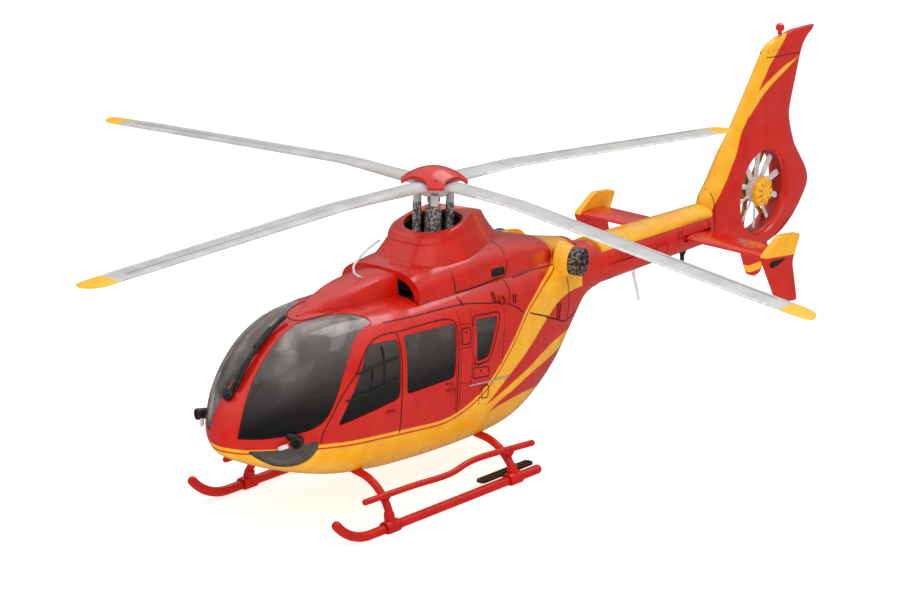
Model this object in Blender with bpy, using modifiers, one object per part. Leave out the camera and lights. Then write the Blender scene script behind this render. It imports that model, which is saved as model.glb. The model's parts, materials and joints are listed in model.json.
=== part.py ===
"""1:72 display model of a light rescue helicopter with a four-blade rotor and a shrouded tail fan.

The model stands on its skids at z = 0, nose towards -Y, port side towards +X.
Stations are in millimetres aft of the rotor mast. Every object hangs from an empty at the
mast, which stands MAST_Y from the origin, so that the origin is under the middle of the box.
"""

import math

import bmesh
import bpy
from mathutils import Matrix, Vector

MM = 0.001

# Driving dimensions, in millimetres at 1:72.
ROTOR_RADIUS = 70.8
ROTOR_PHASE = math.radians(-3.4)
BLADES = 4
BLADE_CHORD = 4.0
BLADE_Z = 45.2
BLADE_ROOT_Z = 44.8
BLADE_DROOPS = (5.2, 3.9, 4.2, 2.6)
SKID_TRACK = 27.6
SKID_RADIUS = 0.72
FAN_Y = 86.0
FAN_Z = 27.4
DUCT_RADIUS = 7.0
FAN_BLADES = 10
STATOR_VANES = 7
BOOM_Z = 24.2
BOOM_START = 38.4
BOOM_END = 70.0
STABILISER_SPAN = 35.8
DECK_Z = 29.9
DECK_FALL = 0.045
DECK_BEND = 4.0
MAST_Y = -15.5

WALL = 1.0
GAP = 0.3
WINDOW_INNER_X = 2.2
WINDOW_OUTER_X = 16.0
HALF_STEPS = 12
ROUND_STEPS = 24

# Hull stations: aft of mast, half width, keel z, widest z, crown z, lower and upper squareness.
HULL = (
    (-46.8, 0.8, 14.5, 15.5, 16.5, 2.0, 2.0),
    (-46.3, 2.2, 13.7, 15.7, 17.8, 2.0, 2.0),
    (-45.2, 4.0, 12.9, 16.0, 20.0, 2.1, 2.1),
    (-43.2, 6.1, 11.9, 16.5, 22.6, 2.2, 2.2),
    (-40.5, 8.1, 10.7, 17.0, 25.5, 2.3, 2.3),
    (-37.0, 9.6, 9.4, 17.5, 28.2, 2.5, 2.5),
    (-33.0, 10.5, 8.2, 18.0, 30.1, 2.8, 2.7),
    (-28.0, 10.85, 7.0, 18.3, 31.1, 3.0, 3.0),
    (-20.0, 10.85, 5.8, 18.5, 31.0, 3.1, 3.4),
    (-14.0, 10.85, 5.4, 18.5, 30.9, 3.2, 3.6),
    (-8.0, 10.85, 5.1, 18.5, 31.0, 3.2, 3.6),
    (0.0, 10.7, 4.95, 18.5, 31.2, 3.2, 3.6),
    (8.0, 10.2, 4.95, 18.5, 31.1, 3.0, 3.5),
    (14.0, 9.4, 5.4, 19.0, 30.9, 2.7, 3.2),
    (20.0, 8.1, 7.0, 20.0, 30.5, 2.4, 2.8),
    (25.0, 6.9, 9.6, 21.0, 30.1, 2.2, 2.5),
    (30.0, 5.5, 14.4, 22.6, 29.6, 2.1, 2.2),
    (34.0, 4.6, 18.6, 24.0, 29.0, 2.0, 2.0),
    (38.0, 3.9, 20.3, 24.3, 28.2, 2.0, 2.0),
)

# Engine cowling stations: aft of mast, crown z, squareness.
COWLING = (
    (-12.0, 34.3, 3.0),
    (-6.0, 34.8, 3.4),
    (4.0, 35.0, 3.6),
    (12.0, 34.4, 3.4),
    (20.0, 32.9, 2.9),
    (27.0, 31.1, 2.5),
    (34.0, 29.7, 2.2),
)

# Front fairing stations: aft of mast, half width of its flat top, height of the top's edge.
FRONT_FAIRING = (
    (-30.6, 0.7, 30.6),
    (-28.0, 1.5, 31.4),
    (-24.0, 2.4, 32.5),
    (-20.0, 2.9, 33.2),
    (-16.0, 3.0, 33.6),
    (-12.35, 3.0, 33.8),
)

# Tail fin slices: z, front edge, rear edge, half thickness at the front and at the rear.
FIN = (
    (17.8, 84.0, 90.5, 1.0, 0.9),
    (18.6, 79.5, 93.4, 1.6, 1.3),
    (19.8, 74.6, 95.8, 2.3, 1.6),
    (21.2, 70.9, 97.8, 2.8, 1.7),
    (23.6, 70.3, 100.0, 3.0, 1.8),
    (26.2, 70.3, 101.6, 3.0, 1.8),
    (28.4, 70.4, 101.0, 2.8, 1.8),
    (31.0, 72.2, 99.0, 2.4, 1.7),
    (34.0, 74.3, 96.5, 2.0, 1.5),
    (37.0, 76.4, 95.5, 1.6, 1.1),
    (40.0, 78.5, 95.1, 1.4, 0.8),
    (45.0, 82.0, 96.4, 1.2, 0.7),
    (50.0, 85.4, 97.9, 1.0, 0.6),
    (51.8, 87.0, 99.4, 0.9, 0.6),
    (52.8, 90.0, 101.0, 0.7, 0.6),
    (53.3, 93.5, 101.2, 0.5, 0.5),
)

# Window outlines seen from the side: station and z of each corner.
PILOT_WINDOW = ((-26.4, 27.5), (-19.8, 27.1), (-20.0, 18.3), (-33.5, 17.2))
CABIN_WINDOW = ((-18.6, 27.2), (-6.9, 26.7), (-7.2, 18.5), (-18.4, 18.5))
REAR_WINDOW = ((-2.2, 26.2), (3.5, 25.6), (1.0, 19.8), (-2.0, 19.7))
CHIN_WINDOW = (
    (-45.3, 14.8),
    (-41.5, 14.9),
    (-38.4, 15.5),
    (-36.7, 15.7),
    (-36.3, 14.7),
    (-36.8, 12.9),
    (-37.6, 11.8),
    (-38.8, 11.3),
    (-40.5, 11.6),
    (-42.8, 12.8),
    (-44.4, 13.9),
)
# Each window's outline and the radius of its corners.
WINDOWS = {
    "pilot_window": (PILOT_WINDOW, 1.0),
    "cabin_window": (CABIN_WINDOW, 0.8),
    "rear_window": (REAR_WINDOW, 0.8),
    "chin_window": (CHIN_WINDOW, 0.7),
}

# The windscreen's outlines, seen from the side and from above.
WINDSCREEN_SIDE = (
    (-52.0, 16.5),
    (-44.5, 16.5),
    (-39.8, 17.1),
    (-37.6, 17.5),
    (-36.0, 18.1),
    (-34.9, 19.2),
    (-34.0, 20.7),
    (-32.0, 24.2),
    (-31.0, 25.6),
    (-28.4, 28.2),
    (-26.8, 28.9),
    (-25.0, 29.4),
    (-22.6, 29.6),
    (-22.6, 36.0),
    (-52.0, 36.0),
)
WINDSCREEN_TOP = (
    (14.0, -22.6),
    (7.9, -22.6),
    (6.4, -23.0),
    (5.1, -24.0),
    (4.1, -25.6),
    (3.3, -27.4),
    (2.6, -29.6),
    (1.8, -31.2),
    (1.2, -32.2),
    (1.1, -34.0),
    (1.2, -38.0),
    (1.5, -41.5),
    (1.9, -43.4),
    (2.6, -45.5),
    (2.6, -52.0),
    (14.0, -52.0),
)

# Cross tubes from the middle to the port skid, and the port step rail: x, station, z.
TUBE_RADIUS = 0.6
FRONT_TUBE = (
    (0, -25, 8.5),
    (3.6, -25, 8.4),
    (6.6, -25, 7.7),
    (9.0, -25, 7.2),
    (11.0, -25, 6.1),
    (12.5, -25, 4.5),
    (13.4, -25, 2.9),
    (13.8, -25, 1.95),
)
REAR_TUBE = (
    (0, 4, 7.1),
    (3.0, 4, 7.0),
    (6.0, 4, 6.2),
    (8.8, 4, 5.8),
    (10.9, 4, 4.9),
    (12.4, 4, 3.6),
    (13.4, 4, 2.5),
    (13.8, 4, 1.95),
)
STEP_PATH = ((13.4, -30.4, 5.7), (13.7, -20.0, 5.6), (14.0, -12.0, 5.4), (13.7, -5.0, 6.0), (13.6, 8.6, 5.1))

# The loop of wire in front of the collar.
ROOF_WIRE = (
    (0.6, -17.3, 34.3),
    (0.0, -18.2, 35.0),
    (-0.8, -17.2, 35.9),
    (-2.0, -12.6, 36.7),
    (-2.9, -8.9, 36.9),
)

# Mast collar: share of its height, half width, reach forward and reach aft.
COLLAR = (
    (0.0, 6.9, 11.6, 20.0),
    (0.2, 6.7, 10.6, 17.6),
    (0.4, 6.3, 9.5, 15.8),
    (0.6, 5.8, 8.1, 14.2),
    (0.8, 5.2, 6.9, 12.7),
    (1.0, 4.95, 5.9, 11.4),
)
COLLAR_FOOT_Z = 31.5
BORE_RADIUS = 4.4

# Main blade: distance from the mast, chord share, thickness, shift of the chord's middle.
BLADE = (
    (2.5, 0.85, 1.3, 0.0),
    (7.0, 0.9, 1.3, 0.0),
    (13.0, 0.9, 1.1, 0.0),
    (19.0, 1.0, 0.75, 0.0),
    (45.0, 1.0, 0.65, 0.0),
    (65.5, 1.0, 0.6, 0.0),
    (69.0, 0.78, 0.55, -0.4),
    (ROTOR_RADIUS, 0.3, 0.4, -1.1),
)

# Hub cap: its crown, radius, fall from crown to rim, and the plan of the notch over each blade.
CAP_TOP = 47.3
CAP_RADIUS = 5.1
CAP_FALL = 2.0
CAP_THICKNESS = 0.5
CAP_NOTCH = ((3.5, -2.15), (4.4, -2.7), (7.0, -2.7), (7.0, 2.7), (4.4, 2.7), (3.5, 2.15))

AHEAD = Matrix.Identity(4)
ACROSS = Matrix.Rotation(math.radians(90), 4, "Y")
BOOM_FRONT_RADIUS = 3.6
BOOM_REAR_RADIUS = 3.05
BOOM_WALL = 0.8


def clear_scene():
    for obj in list(bpy.data.objects):
        bpy.data.objects.remove(obj)


def collection(name):
    made = bpy.data.collections.new(name)
    bpy.context.scene.collection.children.link(made)
    return made


def finish(name, colour, roughness, metallic=0.0, alpha=1.0):
    made = bpy.data.materials.new(name)
    made.use_nodes = True
    shader = made.node_tree.nodes["Principled BSDF"]
    shader.inputs["Base Color"].default_value = (*colour, 1.0)
    shader.inputs["Roughness"].default_value = roughness
    shader.inputs["Metallic"].default_value = metallic
    shader.inputs["Alpha"].default_value = alpha
    return made


def empty(name, x, y, z, parent=None):
    """An empty at a point given in millimetres in its parent's frame."""
    made = bpy.data.objects.new(name, None)
    PARTS.objects.link(made)
    made.parent = parent
    made.location = Vector((x, y, z)) * MM
    return made


def add(name, mesh, paint, parent, place=AHEAD):
    """An object in its parent's frame: a visible piece if it has a paint, a cutter if not."""
    made = bpy.data.objects.new(name, mesh)
    if paint is None:
        CUTTERS.objects.link(made)
        made.hide_render = True
        made.display_type = "WIRE"
    else:
        PARTS.objects.link(made)
        mesh.materials.append(paint)
    made.parent = parent
    made.location = place.to_translation()
    made.rotation_euler = place.to_euler()
    return made


def between(table, station):
    """The row of a station table at a station, by cubic interpolation through its rows."""
    last = len(table) - 1
    if station <= table[0][0]:
        return table[0][1:]
    if station >= table[last][0]:
        return table[last][1:]
    i = max(k for k in range(last) if table[k][0] <= station)
    before, low, high, after = (table[min(max(k, 0), last)] for k in range(i - 1, i + 3))
    span = high[0] - low[0]
    t = (station - low[0]) / span
    row = []
    for a, b, c, d in zip(before[1:], low[1:], high[1:], after[1:]):
        rise_in = (c - a) / (high[0] - before[0]) * span
        rise_out = (d - b) / (after[0] - low[0]) * span
        t2, t3 = t * t, t**3
        start = (2 * t3 - 3 * t2 + 1) * b + (t3 - 2 * t2 + t) * rise_in
        end = (3 * t2 - 2 * t3) * c + (t3 - t2) * rise_out
        row.append(start + end)
    return row


def oval(angle, squareness):
    """A unit superellipse: how far out and how far up the point at this angle is."""
    out, up = math.cos(angle), math.sin(angle)
    power = 2 / squareness
    return max(out, 0.0) ** power, math.copysign(abs(up) ** power, up)


def hull_half(station, margin=0.0, inner=GAP / 2):
    """Points of the hull's port side at one station, from keel to crown."""
    half, keel, widest, crown, low, high = between(HULL, station)
    points = []
    for i in range(HALF_STEPS + 1):
        angle = math.pi * (i / HALF_STEPS - 0.5)
        out, up = oval(angle, low if angle < 0 else high)
        reach = max((widest - keel if angle < 0 else crown - widest) + margin, 0.05)
        points.append(Vector((max((half + margin) * out, inner), station, widest + reach * up)))
    return points


def hull_width(station, z):
    """Half width of the hull at a height above its widest line."""
    half, _, widest, crown, _, high = between(HULL, station)
    share = min(max((z - widest) / (crown - widest), 0.0), 1.0)
    return half * (1 - share**high) ** (1 / high)


def mirrored(points):
    return [Vector((-p.x, p.y, p.z)) for p in points]


def both_sides(half):
    """A whole ring from its port half, which runs from keel to crown on the centre line."""
    return half + mirrored(half)[-2:0:-1]


def loft(name, rings, paint, parent, closed=True, cap_first=True, cap_last=True):
    """A skin through rings of points, which all have the same count."""
    mesh = bmesh.new()
    rows = [[mesh.verts.new(point * MM) for point in ring] for ring in rings]
    for near, far in zip(rows, rows[1:]):
        for i in range(len(near) if closed else len(near) - 1):
            j = (i + 1) % len(near)
            mesh.faces.new((near[i], far[i], far[j], near[j]))
    if cap_first:
        mesh.faces.new(rows[0])
    if cap_last:
        mesh.faces.new(reversed(rows[-1]))
    if closed:
        bmesh.ops.recalc_face_normals(mesh, faces=mesh.faces)
    data = bpy.data.meshes.new(name)
    mesh.to_mesh(data)
    mesh.free()
    data.shade_smooth()
    data.set_sharp_from_angle(angle=math.radians(35))
    return add(name, data, paint, parent)


def as_mesh(name, curve, place, paint, parent):
    """A closed mesh object from a curve, with the curve's caps welded on."""
    holder = bpy.data.objects.new(name + "_curve", curve)
    bpy.context.scene.collection.objects.link(holder)
    graph = bpy.context.evaluated_depsgraph_get()
    data = bpy.data.meshes.new_from_object(holder.evaluated_get(graph))
    bpy.data.objects.remove(holder)
    mesh = bmesh.new()
    mesh.from_mesh(data)
    bmesh.ops.remove_doubles(mesh, verts=mesh.verts, dist=1e-7)
    bmesh.ops.recalc_face_normals(mesh, faces=mesh.faces)
    mesh.to_mesh(data)
    mesh.free()
    data.name = name
    data.materials.clear()
    return add(name, data, paint, parent, place)


def poly_spline(curve, points, cyclic):
    spline = curve.splines.new("POLY")
    spline.points.add(len(points) - 1)
    for target, point in zip(spline.points, points):
        target.co = (*point, 1.0)
    spline.use_cyclic_u = cyclic


PLANES = {
    "side": Matrix(((0, 0, 1), (1, 0, 0), (0, 1, 0))).to_4x4(),
    "top": Matrix.Identity(4),
}


def plate(name, outline, plane, low, high, paint=None, parent=None, turn=AHEAD):
    """A flat outline given thickness: across the model for "side", upwards for "top"."""
    curve = bpy.data.curves.new(name, "CURVE")
    curve.dimensions = "2D"
    curve.fill_mode = "BOTH"
    curve.extrude = (high - low) / 2 * MM
    poly_spline(curve, [(u * MM, v * MM, 0.0) for u, v in outline], True)
    place = turn @ PLANES[plane] @ Matrix.Translation((0, 0, (low + high) / 2 * MM))
    return as_mesh(name, curve, place, paint, parent or MAST)


def tube(name, points, radius, paint=None, parent=None, sides=2):
    """A round bar along a list of points, with capped ends."""
    curve = bpy.data.curves.new(name, "CURVE")
    curve.dimensions = "3D"
    curve.bevel_depth = radius * MM
    curve.bevel_resolution = sides
    curve.use_fill_caps = True
    poly_spline(curve, [Vector(p) * MM for p in points], False)
    return as_mesh(name, curve, AHEAD, paint, parent or MAST)


def turned(name, profile, place, paint=None, parent=None, steps=ROUND_STEPS):
    """A (radius, height) profile, read up its outer side, turned about local Z by a Screw modifier.

    A profile that starts and ends on the axis closes there; any other is a closed ring.
    """
    mesh = bmesh.new()
    verts = [mesh.verts.new((r * MM, 0.0, z * MM)) for r, z in reversed(profile)]
    for a, b in zip(verts, verts[1:]):
        mesh.edges.new((a, b))
    if profile[0][0] > 0:
        mesh.edges.new((verts[-1], verts[0]))
    data = bpy.data.meshes.new(name)
    mesh.to_mesh(data)
    mesh.free()
    made = add(name, data, paint, parent or MAST, place)
    screw = made.modifiers.new("Screw", "SCREW")
    screw.steps = screw.render_steps = steps
    screw.use_merge_vertices = True
    screw.merge_threshold = 1e-6
    screw.use_smooth_shade = False
    return made


def moved(x, y, z):
    return Matrix.Translation(Vector((x, y, z)) * MM)


def along(direction):
    """A rotation that carries local Z onto a direction."""
    return Vector(direction).to_track_quat("Z", "Y").to_matrix().to_4x4()


def block(name, low, high, paint=None, parent=None, turn=AHEAD):
    """A box between two corners, in millimetres, which may then be turned about its parent's origin."""
    size = Vector(high) - Vector(low)
    centre = (Vector(high) + Vector(low)) / 2
    mesh = bmesh.new()
    bmesh.ops.create_cube(mesh, size=1.0, matrix=Matrix.Diagonal((*(size * MM), 1.0)))
    data = bpy.data.meshes.new(name)
    mesh.to_mesh(data)
    mesh.free()
    return add(name, data, paint, parent or MAST, turn @ moved(*centre))


def boolean(obj, other, operation="DIFFERENCE"):
    modifier = obj.modifiers.new(operation.title(), "BOOLEAN")
    modifier.operation = operation
    modifier.object = other
    return obj


def bevel(obj, width, segments=2):
    modifier = obj.modifiers.new("Bevel", "BEVEL")
    modifier.width = width * MM
    modifier.segments = segments
    modifier.limit_method = "ANGLE"
    modifier.angle_limit = math.radians(40)
    return obj


def shell(obj, thickness):
    modifier = obj.modifiers.new("Shell", "SOLIDIFY")
    modifier.thickness = thickness * MM
    modifier.offset = -1
    modifier.use_even_offset = False
    return obj


def inset(outline, distance):
    """An outline with every edge moved inwards, whichever way round it runs."""
    count = len(outline)
    area = sum(outline[i - 1][0] * b - a * outline[i - 1][1] for i, (a, b) in enumerate(outline))
    sign = math.copysign(1.0, area)
    points = []
    for i in range(count):
        before, here, after = (Vector(outline[(i + k) % count]) for k in (-1, 0, 1))
        first, second = (here - before).normalized(), (after - here).normalized()
        normal_a = Vector((-first.y, first.x)) * sign
        normal_b = Vector((-second.y, second.x)) * sign
        mitre = (normal_a + normal_b).normalized()
        points.append(here + mitre * (distance / max(mitre.dot(normal_a), 0.3)))
    return points


def rounded(outline, radius, steps=3):
    """An outline with its corners replaced by short curves."""
    points = []
    for i, corner in enumerate(outline):
        here = Vector(corner)
        before, after = Vector(outline[i - 1]), Vector(outline[(i + 1) % len(outline)])
        reach = min(radius, (before - here).length / 2.2, (after - here).length / 2.2)
        start = here + (before - here).normalized() * reach
        end = here + (after - here).normalized() * reach
        for k in range(steps + 1):
            t = k / steps
            points.append(start * (1 - t) ** 2 + here * (2 * t * (1 - t)) + end * t**2)
    return points


def smooth_path(points, per_span=4):
    """Points read from a Catmull-Rom curve through a list of points."""
    known = [Vector(p) for p in points]
    known = [2 * known[0] - known[1], *known, 2 * known[-1] - known[-2]]
    path = []
    for a, b, c, d in zip(known, known[1:], known[2:], known[3:]):
        for k in range(per_span):
            t = k / per_span
            square = (2 * a - 5 * b + 4 * c - d) * t**2
            cube = (3 * b - a - 3 * c + d) * t**3
            path.append(0.5 * (2 * b + (c - a) * t + square + cube))
    return [*path, known[-2]]


def hull_solid(name, margin):
    """The closed hull, grown by a margin, as a cutter."""
    rows = HULL if margin > 0 else HULL[2:]
    return loft(name, [both_sides(hull_half(row[0], margin, inner=0.0)) for row in rows], None, MAST)


def deck_z(station):
    """Height of the engine deck, which is level forward of the mast and falls away aft of it."""
    return DECK_Z - DECK_FALL * max(station - DECK_BEND, 0.0)


def cowling_half(station, margin=0.0, lift=GAP):
    """Points of the cowling's port side at one station, from its foot to its crown."""
    crown, squareness = between(COWLING, station)
    half = hull_width(station, deck_z(station)) + margin
    foot = deck_z(station) + lift
    points = []
    for i in range(HALF_STEPS // 2 + 3):
        out, up = oval(math.pi / 2 * i / (HALF_STEPS // 2 + 2), squareness)
        points.append(Vector((half * out, station, foot + (crown + margin - foot) * up)))
    return points


def cowling_solid(name, stations, margin=0.0, lift=GAP, paint=None):
    """The cowling's outer form as a closed solid with a flat foot."""
    halves = [cowling_half(station, margin, lift) for station in stations]
    return loft(name, [half + mirrored(half)[-2::-1] for half in halves], paint, MAST)


def make_hull_halves():
    """Two moulded shells that meet on the centre line, open on top where the engine deck lies."""
    front, rear, above = -12.3, 34.3, 40
    profile = ((front, DECK_Z), (DECK_BEND, DECK_Z), (rear, deck_z(rear)), (rear, above), (front, above))
    deck_cut = plate("deck_cutter", profile, "side", -20, 20)
    for side, name in ((1, "port"), (-1, "starboard")):
        rings = [hull_half(row[0]) for row in HULL]
        if side < 0:
            rings = [mirrored(ring)[::-1] for ring in rings]
        half = loft("fuselage_" + name, rings, RED, MAST, closed=False, cap_last=False)
        shell(half, WALL)
        boolean(half, deck_cut)
        for outline, radius in WINDOWS.values():
            low, high = sorted((side * WINDOW_INNER_X, side * WINDOW_OUTER_X))
            boolean(half, plate(f"cut_{name}", rounded(outline, radius), "side", low, high))
        boolean(half, windscreen_cutter(name, side, 0.0))
        for gear_cut in (FRONT_TUBE_CUT, REAR_TUBE_CUT):
            boolean(half, gear_cut)


def windscreen_cutter(name, side, margin):
    """The space that a windscreen pane fills: its side outline met with its plan outline."""
    plan = [(side * x, y) for x, y in inset(WINDSCREEN_TOP, margin)]
    low, high = sorted((0.0, side * 15.0))
    across = plate(f"screen_side_{name}_{margin}", inset(WINDSCREEN_SIDE, margin), "side", low, high)
    down = plate(f"screen_plan_{name}_{margin}", plan, "top", 5, 40)
    return boolean(across, down, "INTERSECT")


def make_panes():
    """Clear panes, sunk a little into their openings and cut from the hull's own skin."""
    sink, thickness = 0.1, 0.7
    for side, name in ((1, "port"), (-1, "starboard")):
        cutters = {
            window: plate(
                f"pane_{window}_{name}",
                rounded(inset(outline, GAP), radius),
                "side",
                *sorted((side * (WINDOW_INNER_X + GAP), side * WINDOW_OUTER_X)),
            )
            for window, (outline, radius) in WINDOWS.items()
        }
        cutters["windscreen"] = windscreen_cutter(name, side, GAP)
        for window, cutter in cutters.items():
            stations = [row[0] for row in HULL if row[0] <= 8.0]
            rings = [hull_half(station, -sink) for station in stations]
            if side < 0:
                rings = [mirrored(ring)[::-1] for ring in rings]
            pane = loft(f"{window}_{name}", rings, CLEAR, MAST, closed=False, cap_last=False)
            shell(pane, thickness)
            boolean(pane, cutter, "INTERSECT")


def make_cabin():
    """What the canopy shows: a floor, a deck under the gearbox, seats, a panel and a bulkhead."""
    inside = hull_solid("cabin_space", -WALL - 0.35)
    floor = block("cabin_floor", (-10, -42, 10.2), (10, 12, 11.0), GREY, MAST)
    deck = block("transmission_deck", (-10, -11, 27.2), (10, 11.7, 28.2), GREY, MAST)
    bulkhead = block("rear_bulkhead", (-10, 12.3, 5), (10, 13.1, 28.2), GREY, MAST)
    console = ((-41.6, 12.4), (-41.8, 15.2), (-40.0, 17.0), (-38.6, 17.0), (-38.2, 15.6), (-38.0, 12.4))
    panel = plate("instrument_panel", console, "side", -4.6, 4.6, BLACK, MAST)
    for obj in (floor, deck, bulkhead, panel):
        boolean(obj, inside, "INTERSECT")
    boolean(deck, turned("deck_bore", ((0, 26), (1.4, 26), (1.4, 30), (0, 30)), AHEAD))
    seat = ((-31.5, 11.4), (-31.8, 13.6), (-27.0, 13.3), (-25.2, 22.6), (-23.6, 22.4), (-24.6, 11.4))
    bench = ((-12.6, 11.4), (-12.8, 13.6), (-7.4, 13.4), (-6.2, 22.0), (-4.8, 22.0), (-5.2, 11.4))
    for side, name in ((1, "port"), (-1, "starboard")):
        low, high = sorted((side * 1.9, side * 7.1))
        bevel(plate("pilot_seat_" + name, rounded(seat, 0.8, 2), "side", low, high, GREY, MAST), 0.35, 1)
    bevel(plate("rear_bench", rounded(bench, 0.8, 2), "side", -7.5, 7.5, GREY, MAST), 0.35, 1)
    block("nose_ballast", (-4.5, -37.6, 12.6), (4.5, -33.4, 15.6), STEEL, MAST)


def make_engine_deck():
    """The cowling over the engines, the ramp before it, the collar round the mast and the exhausts."""
    hull_clear = hull_solid("hull_clearance", GAP)
    stations = (-12.0, -6.0, 0.0, 4.0, 8.0, 12.0, 16.0, 20.0, 23.5, 27.0, 30.5, 33.0)
    cowl_clear = cowling_solid("cowl_clearance", (-12.3, *stations[1:-1], 33.3), GAP)
    cowl_space = cowling_solid("cowl_space", (-12.5, *stations[1:9]), -WALL, -0.5)
    bore = turned("collar_bore", ((0, 28), (BORE_RADIUS, 28), (BORE_RADIUS, 44), (0, 44)), AHEAD)

    cowling = cowling_solid("engine_cowling", stations, paint=RED)
    boolean(cowling, cowl_space)
    boolean(cowling, bore)

    rings = []
    for station, half, edge in FRONT_FAIRING:
        outline = (
            (half + 0.9, 28.5),
            (half + 0.15, edge - 0.4),
            (half - 0.35, edge),
            (half * 0.4, edge + 0.2),
            (0, edge + 0.25),
        )
        ring = [Vector((x, station, z)) for x, z in outline]
        rings.append(ring + mirrored(ring)[-2::-1])
    ramp = loft("front_fairing", rings, RED, MAST)
    boolean(ramp, hull_clear)

    collar = loft("mast_fairing", collar_rings(), RED, MAST)
    boolean(collar, cowl_clear)
    boolean(collar, bore)

    screen = block("intake_screen", (-9, -8.4, DECK_Z + GAP), (9, -7.6, 36), BLACK, MAST)
    boolean(screen, cowling_solid("screen_space", stations[:4], -WALL - GAP), "INTERSECT")

    mouth = ((0, 0), (2.2, 0), (2.2, 4.2), (1.7, 4.2), (1.7, 1.6), (0, 1.6))
    for side, name in ((1, "port"), (-1, "starboard")):
        place = moved(side * 4.4, 26.0, 28.6) @ along((side * 0.97, 0.24, 0.0))
        pipe = turned("exhaust_" + name, mouth, place, STEEL, MAST, 20)
        boolean(pipe, hull_clear)
        boolean(pipe, cowl_clear)


def collar_rim_z(station):
    """Height of the collar's rim: it climbs aft past the mast, then falls to the collar's tail."""
    peak = 4.4
    return 39.2 + 0.22 * min(station, peak) - 0.24 * max(station - peak, 0.0)


def collar_rings():
    """Rings of the mast collar, blunt in front and drawn out to a point aft, from foot to rim."""
    blunt, pointed = 0.6, 1.5
    steps = ROUND_STEPS + 8
    rings = []
    for share, half, fore, aft in COLLAR:
        ring = []
        for i in range(steps):
            angle = math.tau * i / steps
            out, ahead = math.sin(angle), math.cos(angle)
            reach, power = (fore, blunt) if ahead > 0 else (aft, pointed)
            x = math.copysign(half * abs(out) ** power, out)
            y = -math.copysign(reach * abs(ahead) ** power, ahead)
            z = COLLAR_FOOT_Z + (collar_rim_z(y) - COLLAR_FOOT_Z) * share
            ring.append(Vector((x, y, z)))
        rings.append(ring)
    return rings


def gear_path(points):
    """A cross tube's centre line, from the starboard foot to the port foot."""
    starboard = [(-x, y, z) for x, y, z in points]
    return smooth_path(starboard[::-1] + list(points)[1:], 2)


def make_landing_gear():
    half_track = SKID_TRACK / 2
    bend_start, bend, reach = -29.3, 11.0, math.radians(46)
    for side, name in ((1, "port"), (-1, "starboard")):
        x = side * half_track
        axis_z = SKID_RADIUS - 0.1
        path = [(x, 10.6, axis_z), (x, -10.0, axis_z)]
        for i in range(9):
            angle = reach * i / 8
            path.append((x, bend_start - bend * math.sin(angle), axis_z + bend * (1 - math.cos(angle))))
        skid = tube("skid_" + name, path, SKID_RADIUS, RED)
        boolean(skid, GROUND)
        step = smooth_path([(side * u, v, w) for u, v, w in STEP_PATH], 3)
        tube("step_" + name, step, 0.5, RED)
        low, high = sorted((side * 11.2, side * 12.75))
        board = rounded(((low, -2.0), (high, -2.0), (high, 10.6), (low, 10.6)), 0.75, 3)
        plate("skid_board_" + name, board, "top", 1.0, 1.5, BLACK)
    tube("front_cross_tube", gear_path(FRONT_TUBE), TUBE_RADIUS, RED, sides=1)
    tube("rear_cross_tube", gear_path(REAR_TUBE), TUBE_RADIUS, RED, sides=1)


def make_tail():
    make_boom()
    make_fin()
    make_stabiliser()


def make_boom():
    """The tapered tube of the boom, slotted for the stabiliser, with the drive shaft's cover on top."""
    front, rear = BOOM_FRONT_RADIUS, BOOM_REAR_RADIUS
    place = moved(0, 0, BOOM_Z) @ along((0, 1, 0))
    inner = ((rear - BOOM_WALL, BOOM_END), (front - BOOM_WALL, BOOM_START))
    profile = ((front, BOOM_START), (rear, BOOM_END), *inner)
    boom = turned("tail_boom", profile, place, RED, MAST)
    boolean(boom, block("stabiliser_slot", (-6, 61.6, BOOM_Z - 0.85), (6, 69.4, BOOM_Z + 0.85)))

    cover = []
    for station, radius in ((BOOM_START + 0.4, front + GAP), (BOOM_END - 0.2, rear + GAP + 0.02)):
        outer, inner = [], []
        for i in range(11):
            angle = math.radians(40 + 10 * i)
            spot = Vector((math.cos(angle), 0, math.sin(angle)))
            outer.append(spot * (radius + 0.5) + Vector((0, station, BOOM_Z)))
            inner.append(spot * radius + Vector((0, station, BOOM_Z)))
        cover.append(outer + inner[::-1])
    loft("shaft_cover", cover, YELLOW, MAST)


def make_fin():
    """The fin with its duct, its beacon and the small fin under it."""
    rings = []
    for z, fore, aft, thick_fore, thick_aft in FIN:
        side = []
        for i in range(13):
            share = (1 - math.cos(math.pi * i / 12)) / 2
            edge = max(1 - abs(2 * share - 1) ** 5, 0.0) ** 0.5
            half = (thick_fore + (thick_aft - thick_fore) * share) * edge
            side.append(Vector((half, fore + (aft - fore) * share, z)))
        rings.append(side + mirrored(side)[-2:0:-1])
    fin = loft("tail_fin", rings, RED, MAST)
    flare = DUCT_RADIUS + 1.4
    half = ((0, 5), (flare, 5), (flare, 2.9), (DUCT_RADIUS, 1.5))
    duct = [(radius, -height) for radius, height in half] + list(half[::-1])
    boolean(fin, turned("duct_cutter", duct, moved(0, FAN_Y, FAN_Z) @ ACROSS, steps=32))

    ventral = ((83.0, 17.3), (85.6, 12.8), (86.7, 12.2), (88.8, 12.7), (90.4, 17.3))
    bevel(plate("ventral_fin", rounded(ventral, 0.8), "side", -0.5, 0.5, RED), 0.15, 1)
    beacon = ((0, 0), (0.35, 0), (0.35, 0.5), (0.75, 0.9), (0.75, 1.4), (0.4, 1.8), (0, 1.9))
    turned("fin_beacon", beacon, moved(0, 91.0, 53.2), RED, MAST, 12)


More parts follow.
